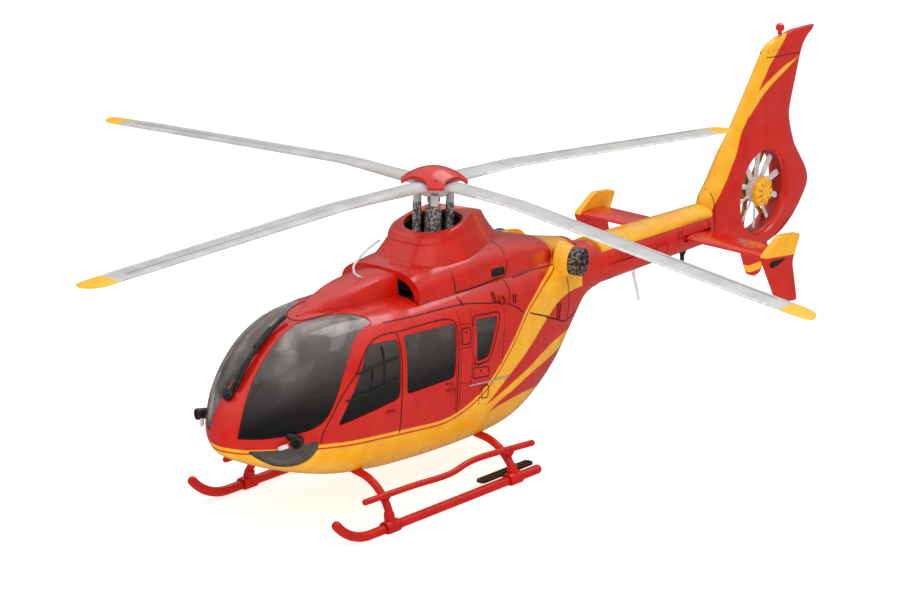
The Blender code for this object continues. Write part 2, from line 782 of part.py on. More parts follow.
def make_stabiliser():
    """The tailplane with a slanted plate at each end."""
    half_span = STABILISER_SPAN / 2
    middle, half_chord, half_thick = 65.5, 3.5, 0.48
    rings = []
    for x in (-half_span, -6.0, 0.0, 6.0, half_span):
        ring = []
        for i in range(12):
            angle = math.tau * i / 12
            rise = half_thick * math.sin(angle) * (1 - 0.25 * math.cos(angle))
            ring.append(Vector((x, middle + half_chord * math.cos(angle), BOOM_Z + rise)))
        rings.append(ring)
    loft("stabiliser", rings, RED, MAST)

    end_plate = ((71.5, 26.6), (66.0, 27.2), (61.3, 24.4), (66.7, 15.9), (71.6, 15.3), (69.5, 22.2))
    for side, name in ((1, "port"), (-1, "starboard")):
        low, high = sorted((side * (half_span + GAP), side * (half_span + GAP + 0.8)))
        bevel(plate("end_plate_" + name, rounded(end_plate, 0.9), "side", low, high, RED), 0.2, 1)

def make_tail_fan():
    """The ten-blade fan on its hub, and the fixed stator that carries its axle."""
    hub = ((0, -1.8), (0.5, -1.8), (0.5, -0.4), (2.2, -0.4), (2.2, 1.0), (0, 1.0))
    rotor = turned("fan_rotor", hub, ACROSS, WHITE, FAN)
    pitch = Matrix.Rotation(math.radians(28), 4, "Z")
    for i in range(FAN_BLADES):
        turn = moved(0.3, 0, 0) @ Matrix.Rotation(math.tau * i / FAN_BLADES, 4, "X") @ pitch
        low, high = (-0.2, -0.6, 1.6), (0.2, 0.6, DUCT_RADIUS - 0.4)
        boolean(rotor, block(f"fan_blade_{i}", low, high, None, FAN, turn), "UNION")
    dome = ((0, 1.3), (2.5, 1.3), (2.5, 2.0), (2.0, 2.4), (0, 2.4))
    turned("fan_spinner", dome, ACROSS, YELLOW, FAN)

    place = moved(0, FAN_Y, FAN_Z)
    ring = ((0.8, -1.9), (2.0, -1.9), (2.0, -0.8), (0.8, -0.8))
    stator = turned("fan_stator", ring, place @ ACROSS, STEEL, MAST)
    for i in range(STATOR_VANES):
        turn = place @ Matrix.Rotation(math.tau * (i + 0.3) / STATOR_VANES, 4, "X")
        low, high = (-1.75, -0.2, 1.6), (-0.95, 0.2, DUCT_RADIUS - GAP)
        boolean(stator, block(f"vane_{i}", low, high, None, MAST, turn), "UNION")


def make_fittings():
    """Small fixed pieces: nose lamps, wiper, roof rail and the aerials under the boom."""
    hull_clear = bpy.data.objects["hull_clearance"]
    for side, name in ((1, "port"), (-1, "starboard")):
        lamp = ((0, -1.6), (0.9, -1.6), (1.0, 0.2), (0.8, 0.7), (0, 0.7))
        place = moved(side * 9.2, -40.9, 16.3) @ along((side * 0.45, -1, 0.0))
        boolean(turned("nose_lamp_" + name, lamp, place, BLACK, MAST, 14), hull_clear)
    crown = [(-1.9, y, between(HULL, y)[3] + 1.15) for y in (-44.2, -42.0, -39.5, -36.5, -33.4)]
    boolean(tube("wiper", crown, 0.35, BLACK), hull_clear)
    boolean(tube("roof_rail", smooth_path(ROOF_WIRE, 3), 0.2, WHITE), bpy.data.objects["mast_fairing"])
    tube("long_aerial", [(0, 52.0, 20.3), (0.1, 54.2, 14.8)], 0.3, WHITE)
    tube("short_aerial", [(0, 65.8, 20.6), (0, 66.0, 17.2)], 0.42, BLACK)


def around_mast(index):
    """The turn that carries a piece from +X to a place round the rotor, counted in blades."""
    return Matrix.Rotation(ROTOR_PHASE + math.tau * index / BLADES, 4, "Z")


def make_rotor():
    """The turning rotor: mast, hub, blades, cap and the control rods round the mast."""
    shaft = ((0, 25.2), (2.1, 25.2), (2.1, 26.7), (1.0, 26.7), (1.0, 42.9), (0, 42.9))
    turned("rotor_mast", shaft, AHEAD, STEEL, ROTOR)
    case = ((1.35, 28.5), (3.4, 28.5), (3.4, 33.0), (2.6, 33.8), (1.35, 33.8))
    turned("gearbox", case, AHEAD, BLACK, MAST)
    hub = ((0, 43.2), (1.6, 43.2), (2.1, 43.8), (2.1, 45.5), (0, 45.5))
    turned("rotor_hub", hub, AHEAD, BLADE_GREY, ROTOR)
    make_control_rods()
    make_hub_cap()
    for i in range(BLADES):
        make_blade(i)


def make_control_rods():
    """A swashplate ring with one control rod for each blade, standing between the blades."""
    ring = ((1.3, 34.3), (3.3, 34.3), (3.3, 35.6), (1.3, 35.6))
    rods = turned("control_rods", ring, AHEAD, STEEL, ROTOR)
    rod = ((0, 34.9), (0.62, 34.9), (0.62, 42.2), (0.4, 42.6), (0.4, 43.6), (0, 43.6))
    for i in range(BLADES):
        spot = around_mast(i + 0.5) @ moved(2.5, 0, 0)
        boolean(rods, turned(f"rod_{i}", rod, spot, None, ROTOR, 12), "UNION")


def make_hub_cap():
    """A thin shallow dome over the hub, with a notch for each blade."""
    steps = 6
    dome = [(CAP_RADIUS * k / steps, CAP_TOP - CAP_FALL * (k / steps) ** 2) for k in range(steps + 1)]
    under = [(radius, height - CAP_THICKNESS) for radius, height in dome]
    cap = turned("hub_cap", under + dome[::-1], AHEAD, RED, ROTOR)
    for i in range(BLADES):
        boolean(cap, plate(f"notch_{i}", CAP_NOTCH, "top", 40, CAP_TOP, None, ROTOR, around_mast(i)))


def make_blade(index):
    """One blade: a thick root, then a thin aerofoil that droops and ends in a swept tip.

    The four moulded blades are not bent alike: each has its own droop.
    """
    droop_start, sides = 12.0, 10
    rings = []
    for radius, share, thickness, shift in BLADE:
        half = BLADE_CHORD * share / 2
        droop = BLADE_DROOPS[index] * max(radius - droop_start, 0.0) / (ROTOR_RADIUS - droop_start)
        z = min(BLADE_ROOT_Z, BLADE_Z - droop)
        ring = []
        for i in range(sides):
            angle = math.tau * i / sides
            lead = math.cos(angle)
            rise = math.sin(angle) * thickness / 2 * (1 + 0.35 * lead)
            ring.append(Vector((radius, shift + half * lead, z + rise)))
        rings.append(ring)
    blade = loft(f"main_blade_{index + 1}", rings, BLADE_GREY, ROTOR)
    blade.rotation_euler = around_mast(index).to_euler()


clear_scene()
PARTS = collection("helicopter_model")
CUTTERS = collection("cutters")
RED = finish("red_paint", (0.62, 0.03, 0.02), 0.25)
YELLOW = finish("yellow_paint", (0.85, 0.42, 0.02), 0.3)
CLEAR = finish("clear_plastic", (0.12, 0.12, 0.12), 0.08, alpha=0.45)
BLADE_GREY = finish("blade_grey", (0.5, 0.5, 0.5), 0.5)
BLACK = finish("black_plastic", (0.02, 0.02, 0.02), 0.45)
GREY = finish("interior_grey", (0.1, 0.1, 0.11), 0.6)
STEEL = finish("dark_steel", (0.25, 0.25, 0.26), 0.35, 1.0)
WHITE = finish("white_plastic", (0.75, 0.75, 0.73), 0.45)

MAST = empty("mast_station", 0, MAST_Y, 0)
ROTOR = empty("rotor_axis", 0, 0, 0, MAST)
FAN = empty("fan_axis", 0, FAN_Y, FAN_Z, MAST)
bpy.context.view_layer.update()

GROUND = block("ground_cutter", (-30, -60, -5), (30, 30, 0))
FRONT_TUBE_CUT = tube("front_tube_cutter", gear_path(FRONT_TUBE), TUBE_RADIUS + GAP, sides=1)
REAR_TUBE_CUT = tube("rear_tube_cutter", gear_path(REAR_TUBE), TUBE_RADIUS + GAP, sides=1)

make_hull_halves()
make_panes()
make_cabin()
make_engine_deck()
make_landing_gear()
make_tail()
make_tail_fan()
make_fittings()
make_rotor()
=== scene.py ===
"""Display scene for a 1:72 model of a light rescue helicopter.

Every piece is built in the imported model's own frame, at stations measured in millimetres from
the rotor mast: nose towards -Y, port side towards +X, ground at z = 0. The fixed pieces ride on
the airframe, and the turning ones on the main rotor or the tail fan.
"""

import json
import math

import bmesh
import bpy
from mathutils import Matrix, Vector


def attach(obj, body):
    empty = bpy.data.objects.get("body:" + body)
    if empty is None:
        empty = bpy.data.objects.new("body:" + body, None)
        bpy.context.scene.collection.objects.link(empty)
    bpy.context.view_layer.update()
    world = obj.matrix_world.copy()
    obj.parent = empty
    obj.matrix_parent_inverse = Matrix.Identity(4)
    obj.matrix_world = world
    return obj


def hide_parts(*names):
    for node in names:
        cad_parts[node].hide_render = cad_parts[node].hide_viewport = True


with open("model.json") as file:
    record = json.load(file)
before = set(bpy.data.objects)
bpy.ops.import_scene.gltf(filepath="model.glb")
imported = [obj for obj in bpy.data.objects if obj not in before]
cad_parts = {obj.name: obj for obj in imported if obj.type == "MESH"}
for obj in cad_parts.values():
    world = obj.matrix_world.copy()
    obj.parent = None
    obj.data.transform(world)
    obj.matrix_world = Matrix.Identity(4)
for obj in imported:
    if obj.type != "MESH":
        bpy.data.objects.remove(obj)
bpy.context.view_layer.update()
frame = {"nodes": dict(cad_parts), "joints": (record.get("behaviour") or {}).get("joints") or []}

MM = 0.001
JOINTS = {joint["name"]: Vector(joint["pos_m"]) / MM for joint in frame["joints"]}
MAST_Y = JOINTS["main_rotor_spin"].y
FRAME_FROM_MAST = Matrix.Translation((0, MAST_Y * MM, 0)) @ Matrix.Scale(MM, 4)
SIDES = ((1, "port"), (-1, "starboard"))
AT_MAST = Matrix.Identity(4)

# Driving dimensions, in millimetres at 1:72.
ROTOR_RADIUS = 70.8
ROTOR_PHASE = math.radians(-3.4)
BLADES = 4
BLADE_CHORD = 4.0
TIP_BAND = 4.8
BLADE_Z = 45.2
BLADE_ROOT_Z = 44.8
BLADE_DROOPS = (5.2, 3.9, 4.2, 2.6)
SKID_TRACK = 27.6
SKID_RADIUS = 0.72
TUBE_RADIUS = 0.6
FAN_Y = JOINTS["tail_fan_spin"].y - MAST_Y
FAN_Z = JOINTS["tail_fan_spin"].z
DUCT_RADIUS = 7.0
FAN_BLADES = 10
BOOM_Z = 24.2
BOOM_START = 38.05
BOOM_END = 70.25
STABILISER_SPAN = 35.8
DECK_Z = 29.9
DECK_FALL = 0.045
DECK_BEND = 4.0
WALL = 1.0
GAP = 0.3
LINE_WIDTH = 0.2
RIVET_RADIUS = 0.12
NOSE_END = -40.0
SEAT_X = 4.5
HALF_STEPS = 40
ROUND_STEPS = 48

# Mast collar: share of its height, half width, reach forward and reach aft.
COLLAR = (
    (0.0, 6.9, 11.6, 20.0),
    (0.2, 6.7, 10.6, 17.6),
    (0.4, 6.3, 9.5, 15.8),
    (0.6, 5.75, 8.1, 14.2),
    (0.8, 5.15, 6.9, 12.7),
    (1.0, 4.9, 5.85, 11.35),
)
COLLAR_FOOT_Z = 31.5
RIM_Z = 39.2
RIM_CLIMB = 0.22
BORE_RADIUS = 4.43

# Main blade: distance from the mast, chord share, thickness, shift of the chord's middle.
BLADE = (
    (2.5, 0.82, 1.25, 0.0),
    (5.0, 0.88, 1.4, 0.0),
    (9.0, 0.9, 1.3, 0.0),
    (13.0, 0.9, 1.05, 0.0),
    (19.0, 0.99, 0.75, 0.0),
    (30.0, 1.0, 0.68, 0.0),
    (45.0, 1.0, 0.64, 0.0),
    (60.0, 1.0, 0.6, 0.0),
    (66.0, 1.0, 0.58, 0.0),
    (68.2, 0.98, 0.55, -0.02),
    (69.6, 0.84, 0.5, -0.2),
    (70.4, 0.58, 0.44, -0.45),
    (ROTOR_RADIUS - 0.08, 0.3, 0.36, -0.75),
)

# Hub cap: its crown, radius, fall from crown to rim, and the plan of the notch over each blade.
CAP_TOP = 47.3
CAP_RADIUS = 5.0
CAP_FALL = 2.0
CAP_THICKNESS = 0.45
CAP_NOTCH = ((3.55, -1.7), (4.4, -2.65), (7.0, -2.9), (7.0, 2.9), (4.4, 2.65), (3.55, 1.7))

# Hull stations: aft of mast, half width, keel z, widest z, crown z, lower and upper squareness.
HULL = (
    (-46.8, 0.8, 14.5, 15.5, 16.5, 2.0, 2.0),
    (-46.3, 2.2, 13.7, 15.7, 17.8, 2.0, 2.0),
    (-45.2, 4.0, 12.9, 16.0, 20.0, 2.1, 2.1),
    (-43.2, 6.1, 11.9, 16.5, 22.6, 2.2, 2.2),
    (-40.5, 8.1, 10.7, 17.0, 25.5, 2.3, 2.3),
    (-37.0, 9.6, 9.4, 17.5, 28.2, 2.5, 2.5),
    (-33.0, 10.5, 8.2, 18.0, 30.1, 2.8, 2.7),
    (-28.0, 10.85, 7.0, 18.3, 31.1, 3.0, 3.0),
    (-20.0, 10.85, 5.8, 18.5, 31.0, 3.1, 3.4),
    (-14.0, 10.85, 5.4, 18.5, 30.9, 3.2, 3.6),
    (-8.0, 10.85, 5.1, 18.5, 31.0, 3.2, 3.6),
    (0.0, 10.7, 4.95, 18.5, 31.2, 3.2, 3.6),
    (8.0, 10.2, 4.95, 18.5, 31.1, 3.0, 3.5),
    (14.0, 9.4, 5.4, 19.0, 30.9, 2.7, 3.2),
    (20.0, 8.1, 7.0, 20.0, 30.5, 2.4, 2.8),
    (25.0, 6.9, 9.6, 21.0, 30.1, 2.2, 2.5),
    (30.0, 5.5, 14.4, 22.6, 29.6, 2.1, 2.2),
    (34.0, 4.6, 18.6, 24.0, 29.0, 2.0, 2.0),
    (38.0, 3.9, 20.3, 24.3, 28.2, 2.0, 2.0),
)

# Engine cowling stations: aft of mast, crown z, squareness.
COWLING = (
    (-12.0, 34.3, 3.0),
    (-6.0, 34.8, 3.4),
    (4.0, 35.0, 3.6),
    (12.0, 34.4, 3.4),
    (20.0, 32.9, 2.9),
    (27.0, 31.1, 2.5),
    (34.0, 29.7, 2.2),
)

# Ramp stations: aft of mast, half width of its flat top, height of the top's edge.
RAMP = (
    (-30.6, 0.7, 30.6),
    (-28.0, 1.5, 31.4),
    (-24.0, 2.4, 32.5),
    (-20.0, 2.9, 33.2),
    (-16.0, 3.0, 33.6),
    (-12.02, 3.0, 33.8),
)

# Tail fin slices: z, front edge, rear edge, half thickness at the front and at the rear.
FIN = (
    (17.8, 84.0, 90.5, 1.0, 0.9),
    (18.6, 79.5, 93.4, 1.6, 1.3),
    (19.8, 74.6, 95.8, 2.3, 1.6),
    (21.2, 70.9, 97.8, 2.8, 1.7),
    (23.6, 70.3, 100.0, 3.0, 1.8),
    (26.2, 70.3, 101.6, 3.0, 1.8),
    (28.4, 70.4, 101.0, 2.8, 1.8),
    (31.0, 72.2, 99.0, 2.4, 1.75),
    (33.4, 73.9, 97.0, 2.2, 1.7),
    (35.3, 75.2, 96.0, 2.1, 1.6),
    (38.3, 77.3, 95.2, 1.35, 0.85),
    (40.0, 78.5, 95.1, 1.3, 0.8),
    (45.0, 82.0, 96.4, 1.15, 0.7),
    (50.0, 85.4, 97.9, 1.0, 0.6),
    (51.8, 87.0, 99.4, 0.9, 0.6),
    (52.8, 90.0, 101.0, 0.7, 0.6),
    (53.3, 93.5, 101.2, 0.5, 0.5),
)
FIN_CREASES = (33.4, 35.3, 38.3)
FIN_REAR = 101.58

# Window outlines seen from the side: station and z of each corner.
PILOT_WINDOW = ((-26.4, 27.5), (-19.8, 27.1), (-20.0, 18.3), (-33.5, 17.2))
CABIN_WINDOW = ((-18.6, 27.2), (-6.9, 26.7), (-7.2, 18.5), (-18.4, 18.5))
REAR_WINDOW = ((-2.2, 26.2), (3.5, 25.6), (1.0, 19.8), (-2.0, 19.7))
CHIN_WINDOW = (
    (-45.3, 14.8),
    (-41.5, 14.9),
    (-38.4, 15.5),
    (-36.7, 15.7),
    (-36.3, 14.7),
    (-36.8, 12.9),
    (-37.6, 11.8),
    (-38.8, 11.3),
    (-40.5, 11.6),
    (-42.8, 12.8),
    (-44.4, 13.9),
)
# Each window's outline, the radius of its corners, and whether a moulded line runs round it.
WINDOWS = {
    "pilot_window": (PILOT_WINDOW, 1.0, False),
    "cabin_window": (CABIN_WINDOW, 0.8, False),
    "rear_window": (REAR_WINDOW, 0.8, True),
    "chin_window": (CHIN_WINDOW, 0.7, False),
}
WINDSCREEN_SIDE = (
    (-52.0, 16.5),
    (-44.5, 16.5),
    (-39.8, 17.1),
    (-37.6, 17.5),
    (-36.0, 18.1),
    (-34.9, 19.2),
    (-34.0, 20.7),
    (-32.0, 24.2),
    (-31.0, 25.6),
    (-28.4, 28.2),
    (-26.8, 28.9),
    (-25.0, 29.4),
    (-22.6, 29.6),
    (-22.6, 36.0),
    (-52.0, 36.0),
)
WINDSCREEN_TOP = (
    (14.0, -22.6),
    (7.9, -22.6),
    (6.4, -23.0),
    (5.1, -24.0),
    (4.1, -25.6),
    (3.3, -27.4),
    (2.6, -29.6),
    (1.8, -31.2),
    (1.2, -32.2),
    (1.1, -34.0),
    (1.2, -38.0),
    (1.5, -41.5),
    (1.9, -43.4),
    (2.6, -45.5),
    (2.6, -52.0),
    (14.0, -52.0),
)

# Landing gear centre lines on the port side.
FRONT_TUBE = (
    (0, -25, 8.5),
    (3.6, -25, 8.4),
    (6.6, -25, 7.7),
    (9.0, -25, 7.2),
    (11.0, -25, 6.1),
    (12.5, -25, 4.5),
    (13.4, -25, 2.9),
    (13.8, -25, 1.95),
)
REAR_TUBE = (
    (0, 4, 7.1),
    (3.0, 4, 7.0),
    (6.0, 4, 6.2),
    (8.8, 4, 5.8),
    (10.9, 4, 4.9),
    (12.4, 4, 3.6),
    (13.4, 4, 2.5),
    (13.8, 4, 1.95),
)
STEP_PATH = (
    (13.4, -30.4, 5.7),
    (13.7, -20.0, 5.6),
    (14.0, -12.0, 5.4),
    (13.7, -5.0, 6.0),
    (13.6, 8.6, 5.1),
)

# Paint lines seen from the side. The belt climbs from the nose over the rear of the cabin.
BELT = (
    (-48.0, 15.2),
    (-45.6, 14.9),
    (-38.3, 15.1),
    (-30.5, 14.3),
    (-23.1, 13.6),
    (-16.0, 12.9),
    (-9.9, 12.4),
    (-6.3, 12.75),
    (-2.8, 13.7),
    (0.85, 15.4),
    (4.6, 18.3),
    (7.9, 21.4),
    (10.8, 24.3),
    (13.7, 25.9),
    (17.3, 27.2),
    (20.6, 28.0),
    (22.9, 28.6),
    (24.3, 29.6),
    (24.9, 32.0),
    (25.3, 40.0),
)
UPPER_FLAME = (
    ((0.7, 12.0), (2.3, 12.8), (5.7, 15.0), (9.8, 17.1), (13.4, 19.1), (16.6, 21.0), (18.8, 21.9),
     (21.0, 22.9), (23.3, 23.4), (26.1, 23.6), (28.9, 23.5), (32.7, 23.1), (40.0, 22.6)),
    ((0.7, 12.0), (2.9, 12.6), (6.0, 13.5), (9.5, 14.5), (13.2, 15.4), (16.5, 16.3), (20.1, 17.0),
     (24.1, 17.4), (28.0, 17.3), (40.0, 16.8)),
)
LOWER_FLAME = (
    ((1.7, 10.5), (5.2, 12.0), (8.4, 12.8), (11.9, 13.8), (15.5, 14.4), (19.1, 14.6), (22.8, 14.9),
     (30.0, 15.1)),
    ((1.7, 10.5), (5.0, 11.1), (8.1, 11.3), (11.2, 11.4), (15.1, 11.0), (20.0, 10.0), (30.0, 7.5)),
)
# The hull turns red again aft of this station and over this height.
TAIL_RED = (31.4, 22.0)
FIN_BAND = (
    (17.0, 69.0),
    (25.2, 70.6),
    (28.0, 71.9),
    (31.5, 75.0),
    (35.3, 77.5),
    (38.9, 79.9),
    (41.9, 82.3),
    (44.6, 84.1),
    (48.4, 87.0),
    (52.1, 91.2),
    (54.0, 93.5),
)
FIN_SWOOSH = (
    ((81.5, 41.5), (84.1, 44.6), (86.4, 45.8), (89.3, 46.9), (92.2, 47.9), (95.9, 48.6), (103.0, 49.0)),
    ((81.5, 40.6), (83.4, 42.2), (85.4, 43.8), (87.6, 45.0), (90.6, 46.3), (93.8, 47.6), (95.9, 48.5),
     (103.0, 49.1)),
)


def between(table, station):
    """The row of a station table at a station, by cubic interpolation through its rows."""
    last = len(table) - 1
    if station <= table[0][0]:
        return table[0][1:]
    if station >= table[last][0]:
        return table[last][1:]
    i = max(k for k in range(last) if table[k][0] <= station)
    before, low, high, after = (table[min(max(k, 0), last)] for k in range(i - 1, i + 3))
    span = high[0] - low[0]
    t = (station - low[0]) / span
    t2, t3 = t * t, t**3
    row = []
    for a, b, c, d in zip(before[1:], low[1:], high[1:], after[1:]):
        rise_in = (c - a) / (high[0] - before[0]) * span
        rise_out = (d - b) / (after[0] - low[0]) * span
        start = (2 * t3 - 3 * t2 + 1) * b + (t3 - 2 * t2 + t) * rise_in
        row.append(start + (3 * t2 - 2 * t3) * c + (t3 - t2) * rise_out)
    return row


def steps_from(low, high, step):
    """Evenly spaced stations from low to high, about a step apart."""
    count = max(1, round((high - low) / step))
    return [low + (high - low) * i / count for i in range(count + 1)]


def smooth_path(points, per_span=4):
    """Points read from a Catmull-Rom curve through a list of points."""
    known = [Vector(p) for p in points]
    known = [2 * known[0] - known[1], *known, 2 * known[-1] - known[-2]]
    path = []
    for a, b, c, d in zip(known, known[1:], known[2:], known[3:]):
        for k in range(per_span):
            t = k / per_span
            bend = (2 * a - 5 * b + 4 * c - d) * t**2 + (3 * b - a - 3 * c + d) * t**3
            path.append(0.5 * (2 * b + (c - a) * t + bend))
    return [*path, known[-2]]


def inset(outline, distance):
    """A closed outline with every edge moved inwards, whichever way round it runs."""
    count = len(outline)
    area = sum(
        outline[i - 1][0] * outline[i][1] - outline[i][0] * outline[i - 1][1] for i in range(count)
    )
    sign = math.copysign(1.0, area)
    points = []
    for i in range(count):
        before, here, after = (Vector(outline[(i + k) % count]) for k in (-1, 0, 1))
        first, second = (here - before).normalized(), (after - here).normalized()
        normal_a = Vector((-first.y, first.x)) * sign
        normal_b = Vector((-second.y, second.x)) * sign
        mitre = (normal_a + normal_b).normalized()
        points.append(here + mitre * (distance / max(mitre.dot(normal_a), 0.3)))
    return points


def beside(path, distance):
    """An open path moved to its right by a distance."""
    moved_path = []
    for i, here in enumerate(path):
        run = (path[min(i + 1, len(path) - 1)] - path[max(i - 1, 0)]).normalized()
        moved_path.append(here + Vector((run.y, -run.x)) * distance)
    return moved_path


def rounded(outline, radius, steps=6):
    """An outline with its corners replaced by short curves."""
    points = []
    for i, corner in enumerate(outline):
        here = Vector(corner)
        before, after = Vector(outline[i - 1]), Vector(outline[(i + 1) % len(outline)])
        reach = min(radius, (before - here).length / 2.2, (after - here).length / 2.2)
        start = here + (before - here).normalized() * reach
        end = here + (after - here).normalized() * reach
        for k in range(steps + 1):
            t = k / steps
            points.append(start * (1 - t) ** 2 + here * (2 * t * (1 - t)) + end * t**2)
    return points


def mirrored(points):
    """Points carried to the other side of the centre line."""
    return [Vector((-p.x, p.y, p.z)) for p in points]


def both_sides(half):
    """A whole ring from its port half, which runs from keel to crown on the centre line."""
    return half + mirrored(half)[-2:0:-1]


def arch(half):
    """An arch with a flat foot, from its port half, which runs from foot to crown."""
    return half + mirrored(half)[-2::-1]


def moved(x, y, z):
    """A translation in mast millimetres."""
    return Matrix.Translation((x, y, z))


def along(direction):
    """A rotation that carries local Z onto a direction."""
    return Vector(direction).to_track_quat("Z", "Y").to_matrix().to_4x4()


# Solids. Each maker works in mast millimetres and returns an unfinished object.


def as_object(name, mesh, recalculate=True):
    """A scene object, in the frame's metres, from a bmesh in mast millimetres."""
    if recalculate:
        bmesh.ops.recalc_face_normals(mesh, faces=mesh.faces)
    bmesh.ops.transform(mesh, matrix=FRAME_FROM_MAST, verts=mesh.verts)
    data = bpy.data.meshes.new(name)
    mesh.to_mesh(data)
    mesh.free()
    made = bpy.data.objects.new(name, data)
    bpy.context.scene.collection.objects.link(made)
    return made


def loft(name, rings, closed=True, cap_first=True, cap_last=True):
    """A skin through rings of points, which all have the same count."""
    mesh = bmesh.new()
    rows = [[mesh.verts.new(point) for point in ring] for ring in rings]
    for near, far in zip(rows, rows[1:]):
        for i in range(len(near) if closed else len(near) - 1):
            j = (i + 1) % len(near)
            mesh.faces.new((near[i], far[i], far[j], near[j]))
    if cap_first:
        mesh.faces.new(rows[0])
    if cap_last:
        mesh.faces.new(reversed(rows[-1]))
    return as_object(name, mesh, recalculate=closed)


def from_curve(name, curve, place):
    """A closed mesh object from a curve, with the curve's caps welded on."""
    holder = bpy.data.objects.new(name, curve)
    bpy.context.scene.collection.objects.link(holder)
    graph = bpy.context.evaluated_depsgraph_get()
    data = bpy.data.meshes.new_from_object(holder.evaluated_get(graph))
    bpy.data.objects.remove(holder)
    mesh = bmesh.new()
    mesh.from_mesh(data)
    bmesh.ops.remove_doubles(mesh, verts=mesh.verts, dist=1e-4)
    bmesh.ops.transform(mesh, matrix=place, verts=mesh.verts)
    return as_object(name, mesh)


def poly_spline(curve, points, cyclic):
    """Adds straight runs through points to a curve."""
    spline = curve.splines.new("POLY")
    spline.points.add(len(points) - 1)
    for target, point in zip(spline.points, points):
        target.co = (*point, 1.0)
    spline.use_cyclic_u = cyclic


PLANES = {
    "side": Matrix(((0, 0, 1), (1, 0, 0), (0, 1, 0))).to_4x4(),
    "top": AT_MAST,
}


def plate(name, outline, plane, low, high):
    """A flat outline given thickness: across the model for "side", upwards for "top"."""
    curve = bpy.data.curves.new(name, "CURVE")
    curve.dimensions = "2D"
    curve.fill_mode = "BOTH"
    curve.extrude = (high - low) / 2
    poly_spline(curve, [(u, v, 0.0) for u, v in outline], True)
    return from_curve(name, curve, PLANES[plane] @ moved(0, 0, (low + high) / 2))


def tube(name, points, radius, sides=4):
    """A round bar along a list of points, with capped ends."""
    curve = bpy.data.curves.new(name, "CURVE")
    curve.dimensions = "3D"
    curve.bevel_depth = radius
    curve.bevel_resolution = sides
    curve.use_fill_caps = True
    poly_spline(curve, points, False)
    return from_curve(name, curve, AT_MAST)


def turned(name, profile, place, steps=ROUND_STEPS):
    """A closed (radius, height) profile turned about local Z, then placed by a matrix."""
    mesh = bmesh.new()
    verts = [mesh.verts.new((r, 0.0, z)) for r, z in profile]
    for a, b in zip(verts, verts[1:] + verts[:1]):
        if a.co.x > 0 or b.co.x > 0:
            mesh.edges.new((a, b))
    bmesh.ops.spin(
        mesh,
        geom=mesh.verts[:] + mesh.edges[:],
        axis=(0, 0, 1),
        cent=(0, 0, 0),
        steps=steps,
        angle=math.tau,
    )
    bmesh.ops.remove_doubles(mesh, verts=mesh.verts, dist=1e-4)
    bmesh.ops.transform(mesh, matrix=place, verts=mesh.verts)
    return as_object(name, mesh)


def block(name, low, high, place=AT_MAST):
    """A box between two corners, carried to its place by a matrix."""
    size = Vector(high) - Vector(low)
    centre = (Vector(high) + Vector(low)) / 2
    mesh = bmesh.new()
    shape = place @ moved(*centre) @ Matrix.Diagonal((*size, 1.0))
    bmesh.ops.create_cube(mesh, size=1.0, matrix=shape)
    return as_object(name, mesh)


def carve(piece, cutter, operation="DIFFERENCE"):
    """A boolean that stays live until the piece is finished."""
    modifier = piece.modifiers.new(operation.title(), "BOOLEAN")
    modifier.operation = operation
    modifier.object = cutter
    CUTTERS.add(cutter.name)
    return piece


def bevel(piece, width, segments=2):
    """Rounds a piece's edges, once it is finished."""
    modifier = piece.modifiers.new("Bevel", "BEVEL")
    modifier.width = width * MM
    modifier.segments = segments
    modifier.limit_method = "ANGLE"
    modifier.angle_limit = math.radians(40)
    return piece


def thicken(piece, thickness):
    """Gives an open skin a wall, inwards, once it is finished."""
    modifier = piece.modifiers.new("Shell", "SOLIDIFY")
    modifier.thickness = thickness * MM
    modifier.offset = -1
    modifier.use_even_offset = False
    return piece


def finish(piece, paint, body="airframe", replaces=(), sharp=32):
    """Applies the modifiers, paints the piece and hangs it on its body."""
    if piece.modifiers:
        graph = bpy.context.evaluated_depsgraph_get()
        data = bpy.data.meshes.new_from_object(piece.evaluated_get(graph))
        piece.modifiers.clear()
        piece.data = data
    piece.data.name = piece.name
    piece.data.materials.clear()
    piece.data.materials.append(paint.material)
    piece.data.shade_smooth()
    piece.data.set_sharp_from_angle(angle=math.radians(sharp))
    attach(piece, body)
    if replaces:
        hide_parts(*replaces)
    return piece


def paint_node(node, paint):
    """Gives a CAD node that stays in view a new material."""
    materials = frame["nodes"][node].data.materials
    materials.clear()
    materials.append(paint.material)


def join(name, pieces):
    """One object from several unfinished ones, with their modifiers applied."""
    graph = bpy.context.evaluated_depsgraph_get()
    mesh = bmesh.new()
    for piece in pieces:
        data = bpy.data.meshes.new_from_object(piece.evaluated_get(graph))
        mesh.from_mesh(data)
    for piece in pieces:
        bpy.data.objects.remove(piece)
    data = bpy.data.meshes.new(name)
    mesh.to_mesh(data)
    mesh.free()
    made = bpy.data.objects.new(name, data)
    bpy.context.scene.collection.objects.link(made)
    return made


# The moulded skins, and lines, studs and plates laid on them.


def oval(angle, squareness):
    """A unit superellipse: how far out and how far up the point at this angle is."""
    out, up = math.cos(angle), math.sin(angle)
    power = 2 / squareness
    return max(out, 0.0) ** power, math.copysign(abs(up) ** power, up)


def hull_half(station, margin=0.0, inner=0.01):
    """Points of the hull's port side at one station, from keel to crown."""
    half, keel, widest, crown, low, high = between(HULL, station)
    points = []
    for i in range(HALF_STEPS + 1):
        angle = math.pi * (i / HALF_STEPS - 0.5)
        out, up = oval(angle, low if angle < 0 else high)
        reach = max((widest - keel if angle < 0 else crown - widest) + margin, 0.05)
        points.append(Vector((max((half + margin) * out, inner), station, widest + reach * up)))
    return points


